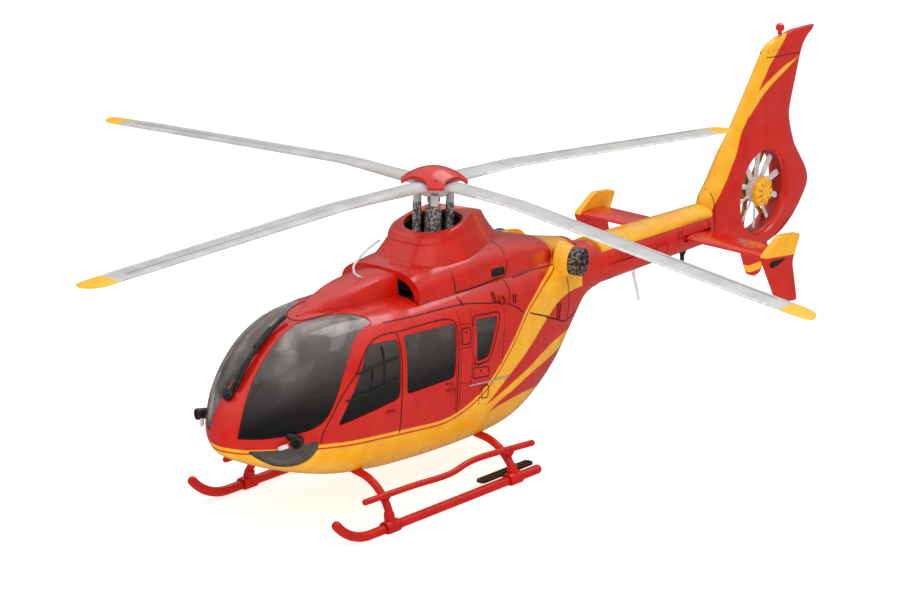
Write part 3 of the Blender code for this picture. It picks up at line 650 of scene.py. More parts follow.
def hull_x(station, z):
    """Half width of the hull at a height."""
    half, keel, widest, crown, low, high = between(HULL, station)
    power = low if z < widest else high
    share = (widest - z) / (widest - keel) if z < widest else (z - widest) / (crown - widest)
    return half * max(1 - min(share, 1.0) ** power, 0.0) ** (1 / power)


def hull_top(x, station):
    """Height of the hull's upper surface at a distance from the centre line."""
    half, _, widest, crown, _, high = between(HULL, station)
    share = min(abs(x) / half, 1.0)
    return widest + (crown - widest) * (1 - share**high) ** (1 / high)


def deck_z(station):
    """Height of the engine deck, which is level forward of the mast and falls away aft of it."""
    return DECK_Z - DECK_FALL * max(station - DECK_BEND, 0.0)


def cowling_x(station, z):
    """Half width of the cowling at a height."""
    crown, power = between(COWLING, station)
    foot = deck_z(station)
    share = min(max((z - foot) / (crown - foot), 0.0), 1.0)
    return hull_x(station, foot) * (1 - share**power) ** (1 / power)


def cowling_top(x, station):
    """Height of the cowling's upper surface at a distance from the centre line."""
    crown, power = between(COWLING, station)
    foot = deck_z(station)
    share = min(abs(x) / hull_x(station, foot), 1.0)
    return foot + (crown - foot) * (1 - share**power) ** (1 / power)


def spot_beside(width, station, z, side=1):
    """A point on a side skin and its outward normal, from the skin's half width."""
    step = 0.05
    slope_y = (width(station + step, z) - width(station - step, z)) / (2 * step)
    slope_z = (width(station, z + step) - width(station, z - step)) / (2 * step)
    normal = Vector((1, -slope_y, -slope_z)).normalized()
    normal.x *= side
    return Vector((side * width(station, z), station, z)), normal


def spot_on_top(height, x, station):
    """A point on an upper skin and its normal, from the skin's height."""
    step = 0.05
    slope_x = (height(x + step, station) - height(x - step, station)) / (2 * step)
    slope_y = (height(x, station + step) - height(x, station - step)) / (2 * step)
    return Vector((x, station, height(x, station))), Vector((-slope_x, -slope_y, 1)).normalized()


def side_spots(width, path, side, spacing=0.7):
    """Points and normals along a (station, z) path laid on a side skin."""
    spots = []
    for start, end in zip(path, path[1:]):
        start, end = Vector(start), Vector(end)
        count = max(1, math.ceil((end - start).length / spacing))
        spots += [spot_beside(width, *start.lerp(end, i / count), side) for i in range(count)]
    return [*spots, spot_beside(width, *path[-1], side)]


def lay_strip(mesh, spots, width, rise=0.03, depth=0.1, closed=False):
    """A thin closed strip that follows a skin, mostly sunk into it."""
    rings = []
    count = len(spots)
    for i, (point, normal) in enumerate(spots):
        ahead = spots[(i + 1) % count][0] if closed else spots[min(i + 1, count - 1)][0]
        behind = spots[i - 1][0] if closed else spots[max(i - 1, 0)][0]
        across = (ahead - behind).cross(normal).normalized() * (width / 2)
        top, foot = point + normal * rise, point - normal * depth
        corners = (top - across, top + across, foot + across, foot - across)
        rings.append([mesh.verts.new(corner) for corner in corners])
    pairs = zip(rings, rings[1:] + rings[:1]) if closed else zip(rings, rings[1:])
    for near, far in pairs:
        for i in range(4):
            j = (i + 1) % 4
            mesh.faces.new((near[i], far[i], far[j], near[j]))
    if not closed:
        mesh.faces.new(rings[0])
        mesh.faces.new(reversed(rings[-1]))


def lay_stud(mesh, spot, radius, rise=0.06, sides=8):
    """A small domed head standing on a skin."""
    point, normal = spot
    turn = along(normal).to_3x3()
    rings = []
    for share, height in ((1.0, -0.08), (1.0, rise * 0.5), (0.6, rise)):
        ring = []
        for i in range(sides):
            angle = math.tau * i / sides
            reach = radius * share
            offset = turn @ Vector((math.cos(angle) * reach, math.sin(angle) * reach, height))
            ring.append(mesh.verts.new(point + offset))
        rings.append(ring)
    for near, far in zip(rings, rings[1:]):
        for i in range(sides):
            j = (i + 1) % sides
            mesh.faces.new((near[i], near[j], far[j], far[i]))
    mesh.faces.new(reversed(rings[0]))
    mesh.faces.new(rings[-1])


def row_of_studs(mesh, width, start, end, count, side, radius):
    """Evenly spaced studs between two (station, z) points of a side skin."""
    for i in range(count):
        station, z = Vector(start).lerp(Vector(end), i / (count - 1))
        lay_stud(mesh, spot_beside(width, station, z, side), radius)


# Paints.


def linear(value):
    """A linear share of light from a display value out of 255."""
    value /= 255
    return value / 12.92 if value <= 0.04045 else ((value + 0.055) / 1.055) ** 2.4


def tone(red, green, blue):
    """A linear colour from display values out of 255."""
    return (linear(red), linear(green), linear(blue), 1.0)


class Paint:
    """A node material under construction, with short calls for the nodes it needs."""

    def __init__(self, name, slot, colour, roughness, **settings):
        self.slot = slot
        self.material = bpy.data.materials.new(name)
        self.material.use_nodes = True
        self.tree = self.material.node_tree
        self.shader = self.tree.nodes["Principled BSDF"]
        self.shader.inputs["Base Color"].default_value = colour
        self.shader.inputs["Roughness"].default_value = roughness
        for key, value in settings.items():
            self.shader.inputs[key.replace("_", " ")].default_value = value

    def add(self, kind, **settings):
        """A new node, with its settings."""
        node = self.tree.nodes.new("ShaderNode" + kind)
        for key, value in settings.items():
            setattr(node, key, value)
        return node

    def feed(self, socket, value):
        """Links a socket to another node's output, or sets its number or colour."""
        if isinstance(value, bpy.types.NodeSocket):
            self.tree.links.new(value, socket)
        else:
            socket.default_value = value

    def math(self, operation, a, b=0.0, c=0.0, clamp=False):
        """The result of a sum on numbers or sockets."""
        node = self.add("Math", operation=operation, use_clamp=clamp)
        for socket, value in zip(node.inputs, (a, b, c)):
            self.feed(socket, value)
        return node.outputs[0]

    def spot(self):
        """The shaded point in mast millimetres."""
        node = self.add("VectorMath", operation="MULTIPLY_ADD")
        self.feed(node.inputs[0], self.add("TexCoord").outputs["Object"])
        node.inputs[1].default_value = (1 / MM, 1 / MM, 1 / MM)
        node.inputs[2].default_value = (0.0, -MAST_Y, 0.0)
        return node.outputs[0]

    def axes(self):
        """The shaded point's x, y and z."""
        node = self.add("SeparateXYZ")
        self.feed(node.inputs[0], self.spot())
        return node.outputs

    def noise(self, scale, detail=3.0, stretch=(1.0, 1.0, 1.0)):
        """Cloudy noise, with its scale in features per millimetre."""
        mapping = self.add("Mapping")
        self.feed(mapping.inputs["Vector"], self.spot())
        mapping.inputs["Scale"].default_value = stretch
        node = self.add("TexNoise")
        self.feed(node.inputs["Vector"], mapping.outputs[0])
        node.inputs["Scale"].default_value = scale
        node.inputs["Detail"].default_value = detail
        return node.outputs[0]

    def spread(self, value, low, high, low_out=0.0, high_out=1.0):
        """A value's range stretched to another range, clamped at its ends."""
        node = self.add("MapRange")
        for socket, number in zip(node.inputs, (value, low, high, low_out, high_out)):
            self.feed(socket, number)
        return node.outputs[0]

    def line(self, value, points):
        """The height of a line through (input, output) points, read at a value."""
        low, high = points[0][0], points[-1][0]
        bottom, top = min(p[1] for p in points), max(p[1] for p in points)
        spots = [((p[0] - low) / (high - low), (p[1] - bottom) / (top - bottom)) for p in points]
        node = self.add("FloatCurve")
        curve = node.mapping.curves[0]
        curve.points[0].location, curve.points[1].location = spots[0], spots[-1]
        for spot in spots[1:-1]:
            curve.points.new(*spot)
        for point in curve.points:
            point.handle_type = "VECTOR"
        node.mapping.update()
        self.feed(node.inputs["Value"], self.spread(value, low, high))
        return self.math("MULTIPLY_ADD", node.outputs[0], top - bottom, bottom)

    def above(self, value, limit, softness=0.05):
        """One where the value is over the limit and zero below, with a crisp edge."""
        gap = self.math("SUBTRACT", value, limit)
        return self.math("MULTIPLY_ADD", gap, 1 / softness, 0.5, clamp=True)

    def mix(self, share, first, second):
        """The first colour where the share is zero, and the second where it is one."""
        node = self.add("Mix", data_type="RGBA")
        for index, value in ((0, share), (6, first), (7, second)):
            self.feed(node.inputs[index], value)
        return node.outputs[2]

    def shaded(self, colour, amount, low=0.85):
        """A colour darkened by an amount that runs from zero to one."""
        node = self.add("Mix", data_type="RGBA", blend_type="MULTIPLY")
        node.inputs[0].default_value = 1.0
        self.feed(node.inputs[6], colour)
        grey = self.add("CombineXYZ")
        level = self.spread(amount, 0.0, 1.0, low, 1.0)
        for socket in grey.inputs:
            self.feed(socket, level)
        self.feed(node.inputs[7], grey.outputs[0])
        return node.outputs[2]

    def colour(self, value):
        """Sets the base colour."""
        self.feed(self.shader.inputs["Base Color"], value)

    def roughness(self, value):
        """Sets the roughness."""
        self.feed(self.shader.inputs["Roughness"], value)

    def bump(self, height, depth):
        """Fine relief: a height from zero to one, and its depth in millimetres."""
        node = self.add("Bump")
        node.inputs["Distance"].default_value = depth * MM
        self.feed(node.inputs["Height"], height)
        self.feed(self.shader.inputs["Normal"], node.outputs[0])


# Smoke tint and painted reflection on the clear parts: height, share of the paler tone. The paler tone is
# painted reflection and light, at the chin and over the tops of the panes; where its share is zero the dark
# smoke shows.
PANE_REFLECTION_SHARE = ((9.0, 0.7), (15.2, 0.6), (16.4, 0.0), (20.0, 0.06), (24.0, 0.35), (31.0, 1.0))

RED_TONE = tone(214, 30, 12)
DEEP_RED = tone(200, 20, 8)
YELLOW_TONE = tone(255, 190, 34)
DEEP_YELLOW = tone(252, 170, 14)


def gloss_paint(name, slot, yellow_share=0.0):
    """Brushed model enamel in red and yellow: a slightly uneven coat under a clear gloss."""
    paint = Paint(name, slot, RED_TONE, 0.25, Coat_Weight=0.45, Coat_Roughness=0.05)
    share = yellow_share(paint) if callable(yellow_share) else yellow_share
    clouds = paint.noise(0.35, 4.0)
    red = paint.mix(paint.spread(clouds, 0.35, 0.7), RED_TONE, DEEP_RED)
    yellow = paint.mix(paint.spread(clouds, 0.35, 0.7), YELLOW_TONE, DEEP_YELLOW)
    paint.colour(paint.mix(share, red, yellow))
    paint.roughness(paint.spread(paint.noise(0.6), 0.3, 0.7, 0.18, 0.3))
    paint.bump(paint.noise(0.8, 2.0), 0.006)
    return paint


def within(paint, value, outlines, station, start):
    """One inside a flame: between its lower and upper line, and aft of its point."""
    upper, lower = outlines
    inside = paint.math(
        "MULTIPLY",
        paint.above(paint.line(station, upper), value),
        paint.above(value, paint.line(station, lower)),
    )
    return paint.math("MULTIPLY", inside, paint.above(station, start))


def hull_livery(paint):
    """Yellow below the belt and in the pinstripe above it, with two red flames aft."""
    _, station, height = paint.axes()
    rise = paint.math("MAXIMUM", paint.math("SUBTRACT", height, 29.0), 0.0)
    station_there = paint.math("MULTIPLY_ADD", rise, 0.4, station)
    belt = smooth_path(BELT, 2)
    stripe_width, line_width = 0.5, 0.28
    edges = [belt, beside(belt, stripe_width), beside(belt, stripe_width + line_width)]
    under = []
    for edge in edges:
        under.append(paint.above(paint.line(station_there, sorted(tuple(p) for p in edge)), height))
    stripe = paint.math("SUBTRACT", under[0], under[1])
    share = paint.math("ADD", stripe, under[2], clamp=True)
    for flame in (UPPER_FLAME, LOWER_FLAME):
        inside = within(paint, height, flame, station, flame[0][0][0])
        share = paint.math("MULTIPLY", share, paint.math("SUBTRACT", 1.0, inside))
    behind, over = paint.above(station, TAIL_RED[0]), paint.above(height, TAIL_RED[1])
    tail = paint.math("MULTIPLY", behind, over)
    return paint.math("MULTIPLY", share, paint.math("SUBTRACT", 1.0, tail))


def fin_livery(paint):
    """A yellow band down the leading edge, and a swoosh that leaves it upwards and aft."""
    _, station, height = paint.axes()
    band = paint.above(paint.line(height, FIN_BAND), station)
    swoosh = within(paint, height, FIN_SWOOSH, station, FIN_SWOOSH[0][0][0])
    return paint.math("MAXIMUM", band, swoosh)


def end_plate_livery(paint):
    """Yellow above a line that falls aft."""
    _, station, height = paint.axes()
    limit = paint.math("MULTIPLY_ADD", paint.math("SUBTRACT", station, 61.8), -0.11, 24.2)
    return paint.above(height, limit)


def ventral_livery(paint):
    """A yellow band across the fin under the duct."""
    _, _, height = paint.axes()
    return paint.math("MULTIPLY", paint.above(height, 13.2), paint.above(14.5, height))


def blade_livery(paint):
    """Yellow tips beyond a radius."""
    x, station, _ = paint.axes()
    squares = paint.math("MULTIPLY_ADD", station, station, paint.math("MULTIPLY", x, x))
    return paint.above(paint.math("SQRT", squares), ROTOR_RADIUS - TIP_BAND)


def blade_paint():
    """Satin grey with a little grime, and yellow tips."""
    paint = Paint("blade_paint", "blade_grey", tone(196, 194, 192), 0.42)
    clouds = paint.spread(paint.noise(0.25, 5.0), 0.35, 0.7)
    grey = paint.mix(clouds, tone(204, 202, 200), tone(182, 180, 178))
    grey = paint.shaded(grey, paint.spread(paint.noise(3.0, 2.0), 0.25, 0.45), 0.9)
    paint.colour(paint.mix(blade_livery(paint), grey, YELLOW_TONE))
    paint.roughness(paint.spread(paint.noise(1.2), 0.3, 0.7, 0.34, 0.5))
    paint.bump(paint.noise(3.5, 2.0), 0.01)
    return paint


def smoked_clear(name):
    """Clear plastic with a smoky tint, dark at mid height, and painted reflection: paler above and at the
    chin, with pale cloudy patches high up and on the starboard side.
    """
    paint = Paint(name, "clear_plastic", tone(80, 74, 70), 0.04, Transmission_Weight=0.82, IOR=1.47)
    x, _, height = paint.axes()
    # Painted reflection: the share of the paler tone, read from the height.
    reflection_share = paint.line(height, PANE_REFLECTION_SHARE)
    smoke_and_reflection = paint.mix(reflection_share, tone(44, 38, 36), tone(196, 186, 180))
    clouds = paint.spread(paint.noise(0.16, 4.0, (1.0, 1.0, 0.7)), 0.48, 0.6)
    # Painted reflection: pale cloudy patches high on the panes and over the starboard side.
    high = paint.spread(height, 23.5, 27.5)
    starboard = paint.spread(x, 0.5, -0.5, 0.0, 0.7)
    painted_glints = paint.math("MULTIPLY", clouds, paint.math("MAXIMUM", high, starboard))
    paint.colour(paint.mix(painted_glints, smoke_and_reflection, tone(232, 224, 220)))
    paint.roughness(paint.spread(paint.noise(0.5), 0.4, 0.75, 0.02, 0.1))
    paint.bump(paint.noise(0.4, 1.5), 0.02)
    return paint


def plastic(name, slot, light, dark, rough=(0.3, 0.55), grain=2.5, depth=0.015, **settings):
    """Painted or moulded plastic, mottled between two tones, with a fine grain."""
    paint = Paint(name, slot, light, rough[0], **settings)
    paint.colour(paint.mix(paint.spread(paint.noise(grain * 0.4, 4.0), 0.35, 0.68), light, dark))
    paint.roughness(paint.spread(paint.noise(grain), 0.3, 0.7, *rough))
    paint.bump(paint.noise(grain * 1.6, 2.0), depth)
    return paint


def speckled_metal(name, dark, light):
    """Dry-brushed metal: a grey broken by lighter specks."""
    paint = Paint(name, "dark_steel", dark, 0.5, Metallic=0.3)
    specks = paint.spread(paint.noise(2.6, 6.0), 0.46, 0.62)
    paint.colour(paint.mix(specks, dark, light))
    paint.roughness(paint.spread(specks, 0.0, 1.0, 0.62, 0.34))
    paint.bump(specks, 0.05)
    return paint


def woven(name, slot, light, dark):
    """Seat fabric: a fine cross weave."""
    paint = Paint(name, slot, light, 0.85, Sheen_Weight=0.2)
    x, station, height = paint.axes()
    pitch = 12.0
    warp, weft = (
        paint.math("SINE", paint.math("MULTIPLY", paint.math("ADD", axis, height), pitch))
        for axis in (x, station)
    )
    weave = paint.spread(paint.math("MULTIPLY", warp, weft), -1.0, 1.0)
    paint.colour(paint.mix(weave, light, dark))
    paint.bump(weave, 0.03)
    return paint


# The airframe.


def side_rings(stations, margin, side):
    """Rings of one side of the hull."""
    rings = [hull_half(station, margin) for station in stations]
    return rings if side > 0 else [mirrored(ring)[::-1] for ring in rings]


def across_from(side, near, far):
    """The low and high x of a slab between two distances from the centre line."""
    return sorted((side * near, side * far))


def hull_solid(name, margin):
    """The closed hull, grown or shrunk by a margin, as a cutter."""
    table = HULL if margin > 0 else HULL[2:]
    stations = steps_from(table[0][0], table[-1][0], 1.5)
    return loft(name, [both_sides(hull_half(station, margin, inner=0.0)) for station in stations])


def screen_space(side, margin):
    """The space that a windscreen pane fills: its side outline met with its plan outline."""
    side_line = smooth_outline(inset(WINDSCREEN_SIDE, margin))
    plan_line = [(side * p.x, p.y) for p in smooth_outline(inset(WINDSCREEN_TOP, margin))]
    across = plate(f"screen_side_{side}_{margin}", side_line, "side", *across_from(side, 0.0, 15.0))
    down = plate(f"screen_plan_{side}_{margin}", plan_line, "top", 5, 40)
    return carve(across, down, "INTERSECT")


def smooth_outline(outline):
    """A closed outline with each corner eased by a short curve."""
    return rounded(outline, 1.2, 3)


def make_hull():
    """Two moulded shells that meet on the centre line, open on top where the engine deck lies."""
    end = 34.3
    front, over = -12.3, 40
    profile = ((front, DECK_Z), (DECK_BEND, DECK_Z), (end, deck_z(end)), (end, over), (front, over))
    deck_cut = plate("deck_cut", profile, "side", -20, 20)
    gear_cuts = [tube("gear_cut", gear_path(path), TUBE_RADIUS + 0.1) for path in (FRONT_TUBE, REAR_TUBE)]
    stations = steps_from(HULL[0][0], NOSE_END, 0.4) + steps_from(NOSE_END, HULL[-1][0], 1.0)[1:]
    for side, name in SIDES:
        half = loft("hull_" + name, side_rings(stations, 0.0, side), closed=False, cap_last=False)
        thicken(half, WALL)
        carve(half, deck_cut)
        for window, (outline, radius, _) in WINDOWS.items():
            low, high = across_from(side, 2.2, 16)
            carve(half, plate(f"cut_{window}_{name}", rounded(outline, radius), "side", low, high))
        carve(half, screen_space(side, 0.0))
        for cut in gear_cuts:
            carve(half, cut)
        finish(half, BODY_PAINT, replaces=["fuselage_" + name])


def make_panes():
    """Smoked panes, sunk a little into their openings and cut from the hull's own skin."""
    sink, thickness, gap = 0.12, 0.6, 0.04
    stations = steps_from(HULL[0][0], NOSE_END, 0.4) + steps_from(NOSE_END, 8.0, 1.0)[1:]
    for side, name in SIDES:
        cutters = {"windscreen": screen_space(side, gap)}
        for window, (outline, radius, _) in WINDOWS.items():
            cutters[window] = plate(
                f"pane_{window}_{name}",
                rounded(inset(outline, gap), radius),
                "side",
                *across_from(side, 2.4, 16),
            )
        for window, cutter in cutters.items():
            rings = side_rings(stations, -sink, side)
            pane = loft(f"{window}_pane_{name}", rings, closed=False, cap_last=False)
            thicken(pane, thickness)
            carve(pane, cutter, "INTERSECT")
            finish(pane, GLASS, replaces=[f"{window}_{name}"])


def make_seat(name, centre, half, sill, top):
    """A moulded seat: a crowned cushion, a bolstered back and a headrest on two posts."""
    front, back = sill
    cushion = ((front, 11.4), (front - 0.4, 13.4), (front + 1.0, 13.9), (back - 0.8, 13.3), (back, 11.4))
    rest = ((back - 1.2, 13.4), (back + 0.8, top), (back + 2.0, top), (back + 1.0, 11.4), (back - 0.6, 11.4))
    pieces = []
    for part_name, outline, share in (("cushion", cushion, 1.0), ("rest", rest, 0.94)):
        shape = rounded(outline, 0.6, 4)
        low, high = centre - half * share, centre + half * share
        pieces.append(bevel(plate(f"{name}_{part_name}", shape, "side", low, high), 0.45, 3))
    for sign in (-1, 1):
        low, high = sorted((centre + sign * half, centre + sign * (half - 0.7)))
        bolster = [(y - 0.45, z) for y, z in rest]
        pieces.append(bevel(plate(f"{name}_bolster", rounded(bolster, 0.5, 4), "side", low, high), 0.25, 2))
        foot, head = (back + 1.4, top - 0.4), (back + 1.7, top + 0.9)
        post = [(centre + sign * half * 0.3, *foot), (centre + sign * half * 0.3, *head)]
        pieces.append(tube(f"{name}_post", post, 0.16))
    low, high = centre - half * 0.5, centre + half * 0.5
    head = block(f"{name}_head", (low, back + 1.1, top + 0.6), (high, back + 2.1, top + 2.6))
    pieces.append(bevel(head, 0.4, 3))
    return finish(join(name, pieces), FABRIC)


def make_cabin():
    """What shows through the panes: floor, bulkhead, deck, panel, seats and controls."""
    for node in ("cabin_floor", "transmission_deck", "rear_bulkhead", "nose_ballast", "gearbox"):
        paint_node(node, INTERIOR)
    for side, name in SIDES:
        seat = make_seat("pilot_seat_shell_" + name, side * SEAT_X, 2.6, (-31.4, -26.2), 22.4)
        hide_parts("pilot_seat_" + name)
    bench = make_seat("rear_bench_shell", 0.0, 7.4, (-12.4, -7.2), 21.2)
    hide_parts("rear_bench")

    mesh = bmesh.new()
    for x in (-3.4, -1.2, 1.2, 3.4):
        for z, size in ((15.9, 0.75), (14.2, 0.55)):
            spot = (Vector((x, -38.35, z)), Vector((0, 0.93, 0.37)))
            lay_stud(mesh, spot, size, 0.25, 20)
    finish(as_object("panel_dials", mesh), DIAL)
    panel = ((-41.6, 12.4), (-41.8, 15.2), (-40.0, 17.0), (-38.6, 17.0), (-38.2, 15.6), (-38.0, 12.4))
    shape = bevel(plate("panel_hood", rounded(panel, 0.5, 4), "side", -4.6, 4.6), 0.3, 2)
    carve(shape, hull_solid("panel_space", -WALL - 0.35), "INTERSECT")
    finish(shape, BLACK, replaces=["instrument_panel"])
    for side, name in SIDES:
        lean = ((-33.8, 11.1), (-34.6, 13.5), (-33.4, 16.2))
        stick = smooth_path([(side * SEAT_X, y, z) for y, z in lean])
        grip_line = ((0, 0), (0.36, 0.1), (0.42, 0.9), (0.3, 1.5), (0, 1.6))
        grip = turned("grip", grip_line, moved(*stick[-1]), 16)
        finish(join("cyclic_stick_" + name, [tube("stick", stick, 0.18), grip]), BLACK)


def cowling_half(station, margin=0.0, lift=0.05):
    """Points of the cowling's port side at one station, from its foot to its crown."""
    crown, squareness = between(COWLING, station)
    half = hull_x(station, deck_z(station)) + margin
    foot = deck_z(station) + lift
    points = []
    steps = HALF_STEPS // 2
    for i in range(steps + 1):
        out, up = oval(math.pi / 2 * i / steps, squareness)
        points.append(Vector((half * out, station, foot + (crown + margin - foot) * up)))
    return points


def cowling_solid(name, stations, margin=0.0, lift=0.05):
    """The cowling's outer form as a closed solid with a flat foot."""
    halves = [cowling_half(station, margin, lift) for station in stations]
    return loft(name, [arch(half) for half in halves])


def collar_rim_z(station):
    """Height of the collar's rim: it climbs aft past the mast, then falls to the collar's tail."""
    peak, fall = 4.4, 0.24
    return RIM_Z + RIM_CLIMB * min(station, peak) - fall * max(station - peak, 0.0)


def collar_rings():
    """Rings of the mast collar, blunt in front and drawn out to a point aft, with a band under its rim."""
    blunt, pointed = 0.6, 1.5
    band, lip_reach = 0.87, 0.2
    shares = [*steps_from(0.0, band, 0.06), band + 0.008, 0.93, 0.985, 1.0]
    rings = []
    for share in shares:
        half, fore, aft = between(COLLAR, share)
        ring = []
        for i in range(ROUND_STEPS * 2):
            angle = math.tau * i / (ROUND_STEPS * 2)
            out, ahead = math.sin(angle), math.cos(angle)
            lip = lip_reach * min(max(ahead + 0.75, 0.0), 1.0) if band < share < 1.0 else 0.0
            reach, power = (fore, blunt) if ahead > 0 else (aft, pointed)
            x = math.copysign((half + lip) * abs(out) ** power, out)
            y = -math.copysign((reach + lip) * abs(ahead) ** power, ahead)
            z = COLLAR_FOOT_Z + (collar_rim_z(y) - COLLAR_FOOT_Z) * share
            ring.append(Vector((x, y, z)))
        rings.append(ring)
    return rings


def make_engine_deck():
    """Everything on the roof: cowling, ramp, mast collar, intakes and exhausts."""
    hair = 0.02
    hull_clear = hull_solid("hull_clearance", hair)
    cowl_clear = cowling_solid("cowl_clearance", steps_from(-12.1, 33.1, 1.5), hair)
    cowl_space = cowling_solid("cowl_space", steps_from(-12.5, 23.5, 1.5), -WALL, -0.5)
    bore_line = ((0, 28), (BORE_RADIUS, 28), (BORE_RADIUS, 44), (0, 44))
    bore = turned("collar_bore", bore_line, AT_MAST, 96)

    cowling = cowling_solid("cowling_shell", steps_from(-12.0, 33.0, 1.0))
    carve(cowling, cowl_space)
    carve(cowling, bore)
    finish(cowling, BODY_PAINT, replaces=["engine_cowling"])

    make_ramp(hull_clear)

    collar = loft("mast_collar", collar_rings())
    carve(collar, cowl_clear)
    carve(collar, bore)
    finish(collar, BODY_PAINT, replaces=["mast_fairing"], sharp=24)

    # A black sleeve lining the collar's bore below its rim: painted shade that keeps the bore dark.
    inner, outer = BORE_RADIUS - 0.2, BORE_RADIUS - 0.02
    ring = ((inner, 30.4), (outer, 30.4), (outer, 40.4), (inner, 40.4))
    bore_shade = turned("collar_well", ring, AT_MAST, 96)
    below_rim = moved(0, 0, RIM_Z - 0.8) @ Matrix.Rotation(math.atan(RIM_CLIMB), 4, "X")
    carve(bore_shade, block("well_cut", (-8, -8, 0), (8, 8, 8), below_rim))
    finish(bore_shade, BLACK)

    make_intakes()
    make_exhausts(hull_clear, cowl_clear)


def make_ramp(hull_clear):
    """The ramp that rises over the roof to the cowling."""
    rings = []
    for station in steps_from(RAMP[0][0], RAMP[-1][0], 0.8):
        half, edge = between(RAMP, station)
        outline = (
            (half + 0.9, 28.5),
            (half + 0.15, edge - 0.4),
            (half, edge - 0.12),
            (half - 0.3, edge),
            (half * 0.4, edge + 0.2),
            (0, edge + 0.25),
        )
        rings.append(arch([Vector((x, station, z)) for x, z in outline]))
    ramp = loft("intake_ramp", rings)
    carve(ramp, hull_clear)
    finish(ramp, BODY_PAINT, replaces=["front_fairing"])


def make_intakes():
    """The dark screens and bars inside the intakes beside the ramp."""
    paint_node("intake_screen", BLACK)
    uprights, first_x, pitch = 5, 3.9, 0.8
    upright_y, rung_y, foot_z, head_z = -8.6, -8.85, 30.3, 33.2
    bars = []
    for side, _ in SIDES:
        for i in range(uprights):
            x = side * (first_x + pitch * i)
            top = head_z - 0.06 * i**2
            bars.append(tube("bar", [(x, upright_y, foot_z), (x, upright_y, top)], 0.13))
        for z in (30.9, 31.8, 32.6):
            bars.append(tube("bar", [(side * 3.6, rung_y, z), (side * 7.2, rung_y, z)], 0.1))
    finish(join("intake_bars", bars), BLACK)


def make_exhausts(hull_clear, cowl_clear):
    """The exhaust pipes, each in a short fairing ring."""
    mouth = (
        (0, 0),
        (2.0, 0),
        (2.1, 1.5),
        (2.2, 3.8),
        (2.16, 4.1),
        (2.0, 4.18),
        (1.78, 4.12),
        (1.68, 3.8),
        (1.62, 1.0),
        (0, 0.9),
    )
    shroud = (
        (1.9, 0.2),
        (2.95, 0.2),
        (2.8, 0.9),
        (2.6, 1.6),
        (2.4, 2.0),
        (2.2, 2.25),
        (1.9, 2.2),
    )
    foot_x, foot_y, foot_z = 4.4, 26.0, 28.6
    outward, backward = 0.97, 0.24
    for side, name in SIDES:
        place = moved(side * foot_x, foot_y, foot_z) @ along((side * outward, backward, 0.0))
        pipe = turned("exhaust_pipe_" + name, mouth, place)
        carve(pipe, hull_clear)
        carve(pipe, cowl_clear)
        finish(pipe, PIPE_METAL, replaces=["exhaust_" + name])
        finish(turned("exhaust_shroud_" + name, shroud, place), PLAIN_YELLOW)


def make_seams():
    """Moulded panel lines: doors, cowling hatches, the rear doors and the window frames."""
    front_door = [
        (-36.2, 15.3), (-36.0, 16.6), (-34.7, 18.7), (-33.2, 20.9), (-31.4, 22.7), (-29.5, 24.2),
        (-27.6, 26.2), (-25.4, 27.6), (-23.0, 28.1), (-19.6, 28.0),
    ]
    rear_door = [
        (-19.3, 27.95), (-12.0, 27.8), (-8.4, 27.5), (-6.8, 26.7), (-6.4, 24.8), (-6.5, 19.0),
        (-6.4, 12.9),
    ]
    drip = [
        (-21.0, 29.4), (-15.0, 29.1), (-8.0, 28.9), (-3.0, 28.6), (1.4, 27.8), (5.0, 27.1),
        (8.0, 26.0), (10.4, 24.5),
    ]
    hull_lines = [
        smooth_path(front_door),
        [(-19.6, 28.0), (-19.6, 12.9)],
        smooth_path(rear_door),
        smooth_path(drip),
        [(-4.0, 29.7), (-4.0, 28.7)],
        [(7.9, 29.6), (7.9, 28.2), (6.8, 26.6)],
        [(25.9, 27.4), (26.2, 23.8), (25.8, 19.6)],
        smooth_path([(17.8, 21.8), (21.1, 20.7), (24.7, 19.4), (29.5, 19.6)]),
        [(12.4, 23.9), (15.5, 22.8), (18.4, 21.8)],
        [(10.2, 29.5), (16.5, 29.2), (21.3, 28.6), (29.2, 27.8)],
    ]
    cowl_lines = [
        [(-4.0, 30.2), (-4.3, 33.4)],
        [(8.3, 30.2), (8.9, 31.6), (9.2, 32.6)],
        [(-4.0, 30.2), (0.2, 30.1), (8.2, 30.15)],
    ]
    over_cowling = ((9.4, 9.0), (7.0, 9.4), (4.0, 9.8), (0.6, 10.0))
    for side, name in SIDES:
        mesh = bmesh.new()
        for line in hull_lines:
            lay_strip(mesh, side_spots(hull_x, line, side), LINE_WIDTH)
        for line in cowl_lines:
            lay_strip(mesh, side_spots(cowling_x, line, side), LINE_WIDTH)
        for outline, radius, framed in WINDOWS.values():
            if framed:
                ring = rounded(inset(outline, -0.55), radius + 0.4)
                lay_strip(mesh, side_spots(hull_x, ring, side)[:-1], LINE_WIDTH, closed=True)
        over = smooth_path([(side * 0.72 * x, y) for x, y in over_cowling])
        spots = [spot_on_top(cowling_top, x, y) for x, y in over]
        lay_strip(mesh, spots, LINE_WIDTH)
        finish(as_object("panel_lines_" + name, mesh), LINE)


def make_ramp_seams():
    """The groove in the roof that runs round the ramp's point."""
    mesh = bmesh.new()
    around = smooth_path([(3.3, -25.0), (2.8, -28.6), (1.7, -31.0), (0.0, -31.9)])
    spots = [spot_on_top(hull_top, x, station) for x, station in around]
    spots += [spot_on_top(hull_top, -x, station) for x, station in around[-2::-1]]
    lay_strip(mesh, spots, LINE_WIDTH)
    finish(as_object("ramp_lines", mesh), LINE)


